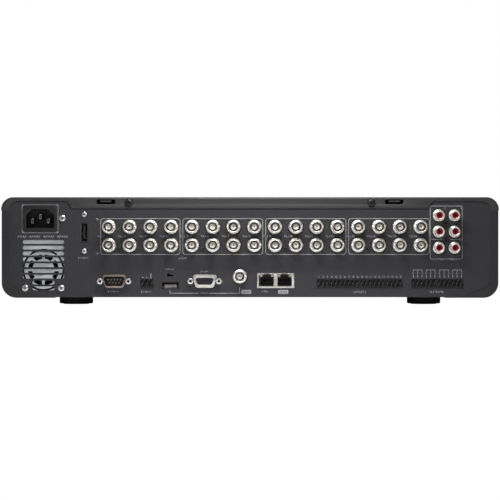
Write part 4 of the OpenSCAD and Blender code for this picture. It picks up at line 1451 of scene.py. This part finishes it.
def make_screws():
    """Black screws of the lid and the jack blocks, bright screws of the supply and the disk port."""
    at = (0, 0)
    screw = pan_head("black_oxide", at, REAR_Y, 3.5 * MM, 1.8 * MM, 1.25 * MM, 6 * MM)
    spots = node_centres("cover_screws", 8 * MM)
    settle(repeated("lid_screws", screw, spots), None, ["cover_screws"])
    screw = pan_head("black_oxide", at, PANEL_Y, 2.0 * MM, 1.1 * MM, 1.2 * MM, 6 * MM)
    spots = node_centres("panel_screws", 8 * MM)
    settle(repeated("block_screws", screw, spots), None, ["panel_screws"])
    large, small = [], []
    for x, z in node_centres("rear_screws", 8 * MM):
        near_port = abs(x - spot("disk_port")[0]) < 5 * MM
        (small if near_port else large).append((x, z))
    screw = pan_head("bright_zinc", at, PANEL_Y, 3.1 * MM, 2.0 * MM, 1.5 * MM, 6 * MM)
    supply = repeated("supply_screws", screw, large)
    screw = pan_head("bright_zinc", at, PANEL_Y, 2.4 * MM, 1.6 * MM, 1.4 * MM, 5 * MM)
    port = repeated("port_screws", screw, small)
    piece = joined("bright_screws", [supply, port])
    settle(piece, None, ["rear_screws"])


# ---------- inlet and lower ports ----------


def make_inlet():
    """The mains inlet and its three flat pins."""
    kept_shape("power_inlet", "black_moulding", 0.35)
    # Painted shade and painted highlight: the blades in dark metal for the shade of the inlet's mouth, their
    # bevelled edges in bright tin as glints.
    blades = kept_shape("inlet_blades", "dark_bore", 0.3)
    painted(blades, "tin_plate", lambda face: max(abs(part) for part in face.normal) < 0.95)


def make_d_ports():
    """The serial and monitor ports with their shells, pins and hexagonal nuts."""
    kept_shape("serial_port_shell", "warm_tin", 0.15)
    pins = kept_shape("serial_port_pins", "brown_plastic", 0.1)
    # Painted shade: the pins' front ends in darkened tin.
    painted(pins, "dull_tin", between("y", PANEL_Y - 1 * MM))
    kept_shape("monitor_port_shell", "tin_plate", 0.2)
    kept_shape("monitor_port_insert", "black_moulding", 0.12)
    nuts = kept_shape("port_jacknuts", "bright_zinc", 0.3)
    places = [spot(f"{port}_jacknut_{side}") for port in ("serial", "monitor") for side in ("left", "right")]
    # Painted shade: the faces round the nuts' holes in dark metal.
    painted(nuts, "dark_bore", lambda face: any(within(face, at, 1.25 * MM) for at in places))


def make_flat_ports():
    """The flat picture-and-sound port and the upright disk port."""
    # Painted light: the shell and tongue in darkened tin for shade inside the port.
    shell = kept_shape("av_port_shell", "dull_tin", 0.12)
    tongue = kept_shape("av_port_tongue", "dull_tin", 0.15)
    across, up = spot("av_port")
    # Painted shade: the shell's upper part in dark metal.
    painted(shell, "dark_bore", between("z", up - 0.8 * MM))
    underside = between("z", high=up - 1.6 * MM)
    inner = between("x", across - 4.4 * MM, across + 4.4 * MM)
    # Painted highlight: bright tin on the tongue's outer and lower faces, beside its darkened middle.
    painted(tongue, "tin_plate", lambda face: not inner(face) or underside(face))
    x, z = spot("disk_port")
    shell = kept_shape("disk_port_shell", "black_moulding", 0.12)
    # Painted light: one tin shell given bright tin on the wall towards +x, darkened tin on the wall towards
    # -x and black at its upper and lower ends, where shade falls.
    painted(shell, "tin_plate", between("x", x + 1.8 * MM))
    painted(shell, "dull_tin", between("x", high=x - 2.6 * MM))
    painted(shell, "black_moulding", lambda face: abs(face.calc_center_median().z - z) > 7 * MM)
    kept_shape("disk_port_tongue", "black_moulding", 0.1)
    left, right, back, front = x + 0.45 * MM, x + 0.62 * MM, PANEL_Y - 8 * MM, PANEL_Y - 1 * MM
    leads = [
        block("lead", (left, back, z + rise), (right, front, z + rise + 0.7 * MM))
        for rise in [(i * 1.3 - 4.5) * MM for i in range(7)]
    ]
    # Painted shade: the leads, deep in the port, in darkened tin.
    settle(joined("disk_port_leads", leads), finish("dull_tin"))


def make_network_ports():
    """Two network sockets: shield, liners, sprung contacts and lamp windows."""
    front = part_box("network_ports_shield")[1].y
    shield = merged_copy("network_ports_shield", "network_ports_shield_part")
    for name, shift in (("network_port_1", 0.75 * MM), ("network_port_2", 0)):
        x, z = spot(name)
        at, size = (x + shift, z + 0.05 * MM), (12.5 * MM, 10.2 * MM)
        cut(shield, rounded_block("mouth", at, size, front - 0.4 * MM, front + MM, 0.4 * MM, 2))
    ease(shield, 0.15 * MM)
    shield.data.materials.clear()
    shield.data.materials.append(finish("tin_plate"))
    # Painted shade: the floor of each mouth's recess in black.
    painted(shield, "black_moulding", between("y", front - 0.45 * MM, front - 0.2 * MM))
    settle(shield, None, ["network_ports_shield"])
    kept_shape("network_ports_inserts", "black_moulding", 0.1)
    windows, contacts = [], []
    for name in ("network_port_1", "network_port_2"):
        x, z = spot(name)
        for side in (-1, 1):
            at, size = (x + side * 4.95 * MM, z + 4.3 * MM), (2.2 * MM, 1.8 * MM)
            low, high = PANEL_Y - 1.4 * MM, PANEL_Y + 0.5 * MM
            windows.append(rounded_block("window", at, size, low, high, 0.35 * MM))
        for i in range(8):
            at = x + (i - 3.5) * 1.02 * MM
            half, end = 0.2 * MM, PANEL_Y - 7 * MM
            wire = block("wire", (at - half, PANEL_Y - 13 * MM, -half), (at + half, end, half))
            for corner in wire.data.vertices:
                slope = (end - corner.co.y) / (6 * MM)
                corner.co.z += z + 1.6 * MM - slope * 3.0 * MM
            contacts.append(wire)
    settle(joined("network_port_windows", windows), finish("lamp_window"))
    # Painted shade: the sprung contacts in dark metal.
    settle(joined("network_port_contacts", contacts), finish("dark_bore"))


def make_terminals():
    """Shrouded terminal headers, with a sloping latch and a pin in each pole."""
    kept_shape("terminal_headers", "black_moulding", 0.12)
    kept_shape("terminal_pins", "tin_plate", 0.1)
    latches = []
    for name in TERMINALS:
        z = spot(name)[1]
        for x in pole_places(name):
            low, high = z - 2.9 * MM, z + 2.7 * MM
            outline = [(x + 1.25 * MM, low), (x + 0.35 * MM, low), (x - 1.2 * MM, high), (x - 0.3 * MM, high)]
            latch = plate("latch", outline, PANEL_Y - 1.6 * MM, PANEL_Y - 0.7 * MM)
            latches.append(ease(latch, 0.12 * MM, 2))
    settle(joined("terminal_latches", latches), finish("latch_plastic"))


def make_fan():
    """The rotor of the supply's fan."""
    kept_shape("psu_fan_rotor", "black_moulding", 0.4, body="psu_fan_rotor")


def make_feet():
    """Four round feet with their pads."""
    kept_shape("feet", "foot_plastic", 0.5)
    kept_shape("foot_pads", "pad_rubber", 0.25)


# ---------- front ----------


def symbol(name, shapes, body):
    """A printed symbol on the front, made of thin blocks and plates."""
    return settle(joined(name, shapes), finish("ink"), body=body)


def front_bar(centre, size, y):
    """A printed bar on a front face, in millimetres about its centre."""
    x, z, w, h = (value * MM for value in (*centre, *size))
    return block("stroke", (x - w / 2, y - sizes().ink, z - h / 2), (x + w / 2, y + sizes().ink, z + h / 2))


def front_plate(points, y):
    """A printed outline of (x, z) points in millimetres on a front face."""
    return plate("mark", [(x * MM, z * MM) for x, z in points], y - sizes().ink, y + sizes().ink)


def ring_mark(x, z, radius, width, y, start=0, end=360, steps=28):
    """A printed ring or arc on a front face, in millimetres and degrees."""
    angles = [radians(start + (end - start) * i / steps) for i in range(steps + 1)]
    outer = [(x + (radius + width / 2) * cos(a), z + (radius + width / 2) * sin(a)) for a in angles]
    inner = [(x + (radius - width / 2) * cos(a), z + (radius - width / 2) * sin(a)) for a in angles]
    parts = []
    for i in range(steps):
        parts.append(front_plate([outer[i], outer[i + 1], inner[i + 1], inner[i]], y))
    return parts


def key_symbols(name, x, z, y):
    """The generic sign of one key, in millimetres."""
    if name == "key_menu":
        return [front_bar((x, z + up), (4.4, 0.6), y) for up in (-1.4, 0, 1.4)]
    if name == "key_search":
        corners = [(x + 1.0, z - 0.7), (x + 1.4, z - 1.1), (x + 2.6, z - 2.3), (x + 2.2, z - 2.7)]
        handle = front_plate(corners, y)
        return ring_mark(x - 0.2, z + 0.4, 1.5, 0.5, y) + [handle]
    if name == "key_record":
        angles = [i * pi / 12 for i in range(24)]
        return [front_plate([(x + 1.8 * cos(a), z + 1.8 * sin(a)) for a in angles], y)]
    if name == "key_play":
        return [front_plate([(x - 1.5, z - 2.0), (x + 2.1, z), (x - 1.5, z + 2.0)], y)]
    if name == "key_stop":
        return [front_bar((x, z), (3.4, 3.4), y)]
    edges = [front_bar((x - 0.6, z + 0.6 + up), (3.2, 0.4), y) for up in (-1.4, 1.4)]
    edges += [front_bar((x - 0.6 + side, z + 0.6), (0.4, 3.2), y) for side in (-1.4, 1.4)]
    edges.append(front_bar((x + 1.0, z - 1.6), (2.8, 0.4), y))
    edges.append(front_bar((x + 2.2, z - 0.4), (0.4, 2.8), y))
    return edges


def make_keys():
    """Six keys, the eject button and the power button, each with its sign on its own body."""
    for name in KEYS:
        kept_shape(name, "key_plastic", 0.35, body=name)
        x, z = (value / MM for value in node_centre(name))
        symbol(name + "_sign", key_symbols(name, x, z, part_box(name)[0].y), name)
    kept_shape("eject_button", "key_plastic", 0.35, body="eject_button")
    x, z = (value / MM for value in node_centre("eject_button"))
    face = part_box("eject_button")[0].y
    arrow = front_plate([(x - 1.5, z - 0.1), (x + 1.5, z - 0.1), (x, z + 1.6)], face)
    symbol("eject_sign", [arrow, front_bar((x, z - 1.1), (3.0, 0.6), face)], "eject_button")
    kept_shape("power_button", "key_plastic", 0.5, body="power_button")
    x, z = (value / MM for value in node_centre("power_button"))
    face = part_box("power_button")[0].y
    ring = ring_mark(x, z - 0.3, 2.9, 0.6, face, 125, 415)
    symbol("power_sign", ring + [front_bar((x, z + 2.0), (0.7, 3.4), face)], "power_button")


def make_dial():
    """The spun jog dial and the ribbed shuttle ring round it."""
    kept_shape("jog_dial", "spun_aluminium", 0.7, body="jog_dial")
    ring = merged_copy("shuttle_ring", "shuttle_ring_part")
    ease(ring, 0.7 * MM, segments=3)
    low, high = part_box("shuttle_ring")
    at = dial_centre()
    radius = (high.x - low.x) / 2
    ribs = []
    for i in range(60):
        turn = i * 2 * pi / 60
        spot_x, spot_z = at[0] + (radius - 0.25 * MM) * cos(turn), at[1] + (radius - 0.25 * MM) * sin(turn)
        ribs.append(bar("rib", (spot_x, spot_z), low.y + 1.6 * MM, low.y + 6.6 * MM, 0.42 * MM, 8))
    whole = joined("shuttle_ring_part", [ring] + ribs)
    settle(whole, finish("soft_rubber"), ["shuttle_ring"], body="shuttle_ring")


def make_front():
    """The bezel, its smoked window with lamps, the disc door, the USB sockets and their marks."""
    kept_shape("front_bezel", "gloss_black", 0.7)
    kept_shape("front_window", "smoked_acrylic", 0.3)
    tray = kept_shape("disc_tray", "black_moulding", 0.35, body="disc_tray")
    painted(tray, "gloss_black", between("y", high=FRONT_Y + 3 * MM))
    kept_shape("usb_ports", "tin_plate", 0.15)
    low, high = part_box("front_window")
    lamps = (("power", "green_lamp"), ("record", "red_lamp"), ("network", "amber_lamp"))
    for i, (name, look) in enumerate(lamps):
        at = (low.x + (12 + 9 * i) * MM, low.z + 6 * MM)
        lamp = rounded_block("lamp", at, (4 * MM, 1.6 * MM), low.y - 0.05 * MM, low.y + 0.3 * MM, 0.6 * MM)
        lamp.name = lamp.data.name = name + "_lamp"
        settle(lamp, finish(look))
    marks = []
    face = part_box("front_bezel")[0].y
    for name in KEYS:
        key_low, key_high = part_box(name)
        marks.append(front_bar(((key_low.x + key_high.x) / 2 / MM, key_low.z / MM - 3), (7.0, 0.5), face))
    x, z = (value / MM for value in dial_centre())
    for a in range(-60, 241, 30):
        turn = radians(a)
        marks.append(front_bar((x + 35.2 * cos(turn), z + 35.2 * sin(turn)), (1.0, 1.0), face))
    symbol("front_marks", marks, CASE)


# ---------- studio ----------


def plain_light(name, colour, strength):
    """A pale backdrop finish: diffuse for the object's light, and evenly lit as the camera sees it."""
    material = bpy.data.materials.new(name)
    material.use_nodes = True
    tree = material.node_tree
    tree.nodes.clear()
    place = add_node(tree, "TexCoord").outputs["Object"]
    cloud = add_node(tree, "TexNoise", {"Vector": place, "Scale": 1.4, "Detail": 2.0})
    tone = add_node(tree, "MapRange", {"Value": cloud.outputs["Fac"], "To Min": 0.985, "To Max": 1.0})
    tint = blend_colours(tree, 1.0, colour, tone.outputs[0], "MULTIPLY")
    plain = add_node(tree, "BsdfDiffuse", {"Color": tint})
    lit = add_node(tree, "Emission", {"Color": tint, "Strength": strength})
    seen = add_node(tree, "LightPath").outputs["Is Camera Ray"]
    mixed = add_node(tree, "MixShader", {0: seen, 1: plain.outputs[0], 2: lit.outputs[0]})
    end = add_node(tree, "OutputMaterial")
    tree.links.new(mixed.outputs[0], end.inputs["Surface"])
    return material


def area_light(name, at, aim, size, power):
    """A rectangular lamp at a place, aimed at another."""
    deselect()
    bpy.ops.object.light_add(type="AREA", location=at)
    lamp = bpy.context.object
    lamp.name = name
    lamp.data.shape = "RECTANGLE"
    lamp.data.size, lamp.data.size_y = size
    lamp.data.energy = power
    lamp.rotation_euler = (Vector(aim) - Vector(at)).to_track_quat("-Z", "Y").to_euler()
    return lamp


def make_studio():
    """Camera, soft lamps, pale floor and surround."""
    studio = bpy.context.scene.recorder_studio
    deselect()
    eye_y = REAR_Y + studio.distance
    bpy.ops.object.camera_add(location=(0, eye_y, studio.aim), rotation=(pi / 2, 0, pi))
    camera = bpy.context.object
    camera.name = "studio_camera"
    camera.data.lens = studio.lens
    camera.data.sensor_width = 36.0
    camera.data.clip_end = 60.0
    bpy.context.scene.camera = camera
    bpy.context.scene.view_settings.view_transform = "Standard"

    deselect()
    bpy.ops.mesh.primitive_plane_add(size=30)
    floor = added("studio_floor")
    floor.data.materials.append(plain_light("studio_floor", (0.9, 0.9, 0.9, 1.0), 1.15))

    area_light("front_softbox", (0.2, 2.6, 0.7), (0, 0.2, 0.05), (3.0, 1.6), 5.4)
    area_light("near_strip", (0.0, REAR_Y + 0.17, 0.31), (0, REAR_Y, 0.07), (0.24, 0.06), 1.75)
    area_light("top_softbox", (0.1, 0.5, 1.9), (0, 0.1, 0.05), (2.4, 1.6), 2.5)
    area_light("side_strip", (1.7, 1.2, 0.5), (0, 0.15, 0.04), (0.4, 1.4), 1.5)
    area_light("back_softbox", (-0.4, -2.2, 1.2), (0, 0, 0.05), (2.4, 1.4), 12.0)

    world = bpy.context.scene.world or bpy.data.worlds.new("studio")
    bpy.context.scene.world = world
    world.use_nodes = True
    tree = world.node_tree
    tree.nodes.clear()
    seen = add_node(tree, "LightPath").outputs["Is Camera Ray"]
    level = studio.surround
    shade = blend_colours(tree, seen, (level, level, level, 1.0), (1.0, 1.0, 1.0, 1.0))
    backdrop = add_node(tree, "Background", {"Color": shade, "Strength": 1.0})
    end = add_node(tree, "OutputWorld")
    tree.links.new(backdrop.outputs[0], end.inputs["Surface"])


# ---------- operators ----------


class RecorderOperator:
    """What every step shares: one undoable run that must finish."""

    bl_options = {"REGISTER", "UNDO"}

    def execute(self, context):
        self.build()
        return {"FINISHED"}


class RECORDER_OT_finishes(RecorderOperator, bpy.types.Operator):
    """Make the shared effects and every finish"""

    bl_idname = "recorder.finishes"
    bl_label = "Finishes"

    def build(self):
        for group in (mottle_group, grain_group, edge_group, dust_group, spangle_group):
            group()
        for material in FINISHES:
            material()


class RECORDER_OT_studio(RecorderOperator, bpy.types.Operator):
    """Set the camera, the lamps and the floor"""

    bl_idname = "recorder.studio"
    bl_label = "Studio"

    def build(self):
        make_studio()


class RECORDER_OT_case(RecorderOperator, bpy.types.Operator):
    """Make the base and the lid"""

    bl_idname = "recorder.case"
    bl_label = "Base and lid"

    def build(self):
        make_shell("chassis_base", "case_paint")
        make_shell("top_cover", "cover_paint")


class RECORDER_OT_rear_panel(RecorderOperator, bpy.types.Operator):
    """Make the rear panel"""

    bl_idname = "recorder.rear_panel"
    bl_label = "Rear panel"

    def build(self):
        make_rear_panel()


class RECORDER_OT_print(RecorderOperator, bpy.types.Operator):
    """Print the rear panel's marks"""

    bl_idname = "recorder.panel_print"
    bl_label = "Panel print"

    def build(self):
        make_print()


class RECORDER_OT_video_jacks(RecorderOperator, bpy.types.Operator):
    """Make the bayonet video jacks"""

    bl_idname = "recorder.video_jacks"
    bl_label = "Video jacks"

    def build(self):
        make_video_jacks()


class RECORDER_OT_audio_jacks(RecorderOperator, bpy.types.Operator):
    """Make the phono audio jacks"""

    bl_idname = "recorder.audio_jacks"
    bl_label = "Audio jacks"

    def build(self):
        make_audio_jacks()


class RECORDER_OT_screws(RecorderOperator, bpy.types.Operator):
    """Make every screw of the rear"""

    bl_idname = "recorder.screws"
    bl_label = "Screws"

    def build(self):
        make_screws()


class RECORDER_OT_inlet(RecorderOperator, bpy.types.Operator):
    """Make the mains inlet"""

    bl_idname = "recorder.inlet"
    bl_label = "Mains inlet"

    def build(self):
        make_inlet()


class RECORDER_OT_d_ports(RecorderOperator, bpy.types.Operator):
    """Make the serial and monitor ports"""

    bl_idname = "recorder.d_ports"
    bl_label = "Serial and monitor ports"

    def build(self):
        make_d_ports()


class RECORDER_OT_flat_ports(RecorderOperator, bpy.types.Operator):
    """Make the picture-and-sound port and the disk port"""

    bl_idname = "recorder.flat_ports"
    bl_label = "Flat ports"

    def build(self):
        make_flat_ports()


class RECORDER_OT_network_ports(RecorderOperator, bpy.types.Operator):
    """Make the two network sockets"""

    bl_idname = "recorder.network_ports"
    bl_label = "Network ports"

    def build(self):
        make_network_ports()


class RECORDER_OT_terminals(RecorderOperator, bpy.types.Operator):
    """Make the terminal headers"""

    bl_idname = "recorder.terminals"
    bl_label = "Terminal headers"

    def build(self):
        make_terminals()


class RECORDER_OT_fan(RecorderOperator, bpy.types.Operator):
    """Make the supply's fan rotor"""

    bl_idname = "recorder.fan"
    bl_label = "Fan rotor"

    def build(self):
        make_fan()


class RECORDER_OT_feet(RecorderOperator, bpy.types.Operator):
    """Make the feet and their pads"""

    bl_idname = "recorder.feet"
    bl_label = "Feet"

    def build(self):
        make_feet()


class RECORDER_OT_inner_parts(RecorderOperator, bpy.types.Operator):
    """Make the boards, drives and supply parts inside"""

    bl_idname = "recorder.inner_parts"
    bl_label = "Inner parts"

    def build(self):
        make_inner_parts()


class RECORDER_OT_front(RecorderOperator, bpy.types.Operator):
    """Make the bezel, the window, the disc door and the USB sockets"""

    bl_idname = "recorder.front"
    bl_label = "Front"

    def build(self):
        make_front()


class RECORDER_OT_keys(RecorderOperator, bpy.types.Operator):
    """Make the keys and buttons with their signs"""

    bl_idname = "recorder.keys"
    bl_label = "Keys"

    def build(self):
        make_keys()


class RECORDER_OT_dial(RecorderOperator, bpy.types.Operator):
    """Make the jog dial and the shuttle ring"""

    bl_idname = "recorder.dial"
    bl_label = "Dial"

    def build(self):
        make_dial()


STEPS = (
    RECORDER_OT_finishes,
    RECORDER_OT_studio,
    RECORDER_OT_case,
    RECORDER_OT_rear_panel,
    RECORDER_OT_print,
    RECORDER_OT_video_jacks,
    RECORDER_OT_audio_jacks,
    RECORDER_OT_screws,
    RECORDER_OT_inlet,
    RECORDER_OT_d_ports,
    RECORDER_OT_flat_ports,
    RECORDER_OT_network_ports,
    RECORDER_OT_terminals,
    RECORDER_OT_fan,
    RECORDER_OT_feet,
    RECORDER_OT_inner_parts,
    RECORDER_OT_front,
    RECORDER_OT_keys,
    RECORDER_OT_dial,
)


class RECORDER_PT_steps(bpy.types.Panel):
    """Settings, and one button for each step"""

    bl_idname = "RECORDER_PT_steps"
    bl_label = "Recorder"
    bl_space_type = "VIEW_3D"
    bl_region_type = "UI"
    bl_category = "Recorder"

    def draw(self, context):
        scene = context.scene
        for settings in (scene.recorder_sizes, scene.recorder_colours, scene.recorder_studio):
            box = self.layout.box()
            for name in settings.__annotations__:
                box.prop(settings, name)
        for step in STEPS:
            self.layout.operator(step.bl_idname)


SETTINGS = {
    "recorder_sizes": RecorderSizes,
    "recorder_colours": RecorderColours,
    "recorder_studio": StudioSettings,
}


def register():
    for name, settings in SETTINGS.items():
        bpy.utils.register_class(settings)
        setattr(bpy.types.Scene, name, PointerProperty(type=settings))
    for step in (*STEPS, RECORDER_PT_steps):
        bpy.utils.register_class(step)


def unregister():
    for step in reversed((*STEPS, RECORDER_PT_steps)):
        bpy.utils.unregister_class(step)
    for name, settings in SETTINGS.items():
        delattr(bpy.types.Scene, name)
        bpy.utils.unregister_class(settings)


def main():
    """Runs every step in order."""
    register()
    for step in STEPS:
        getattr(bpy.ops.recorder, step.bl_idname.split(".")[1])()


if __name__ == "__main__":
    main()
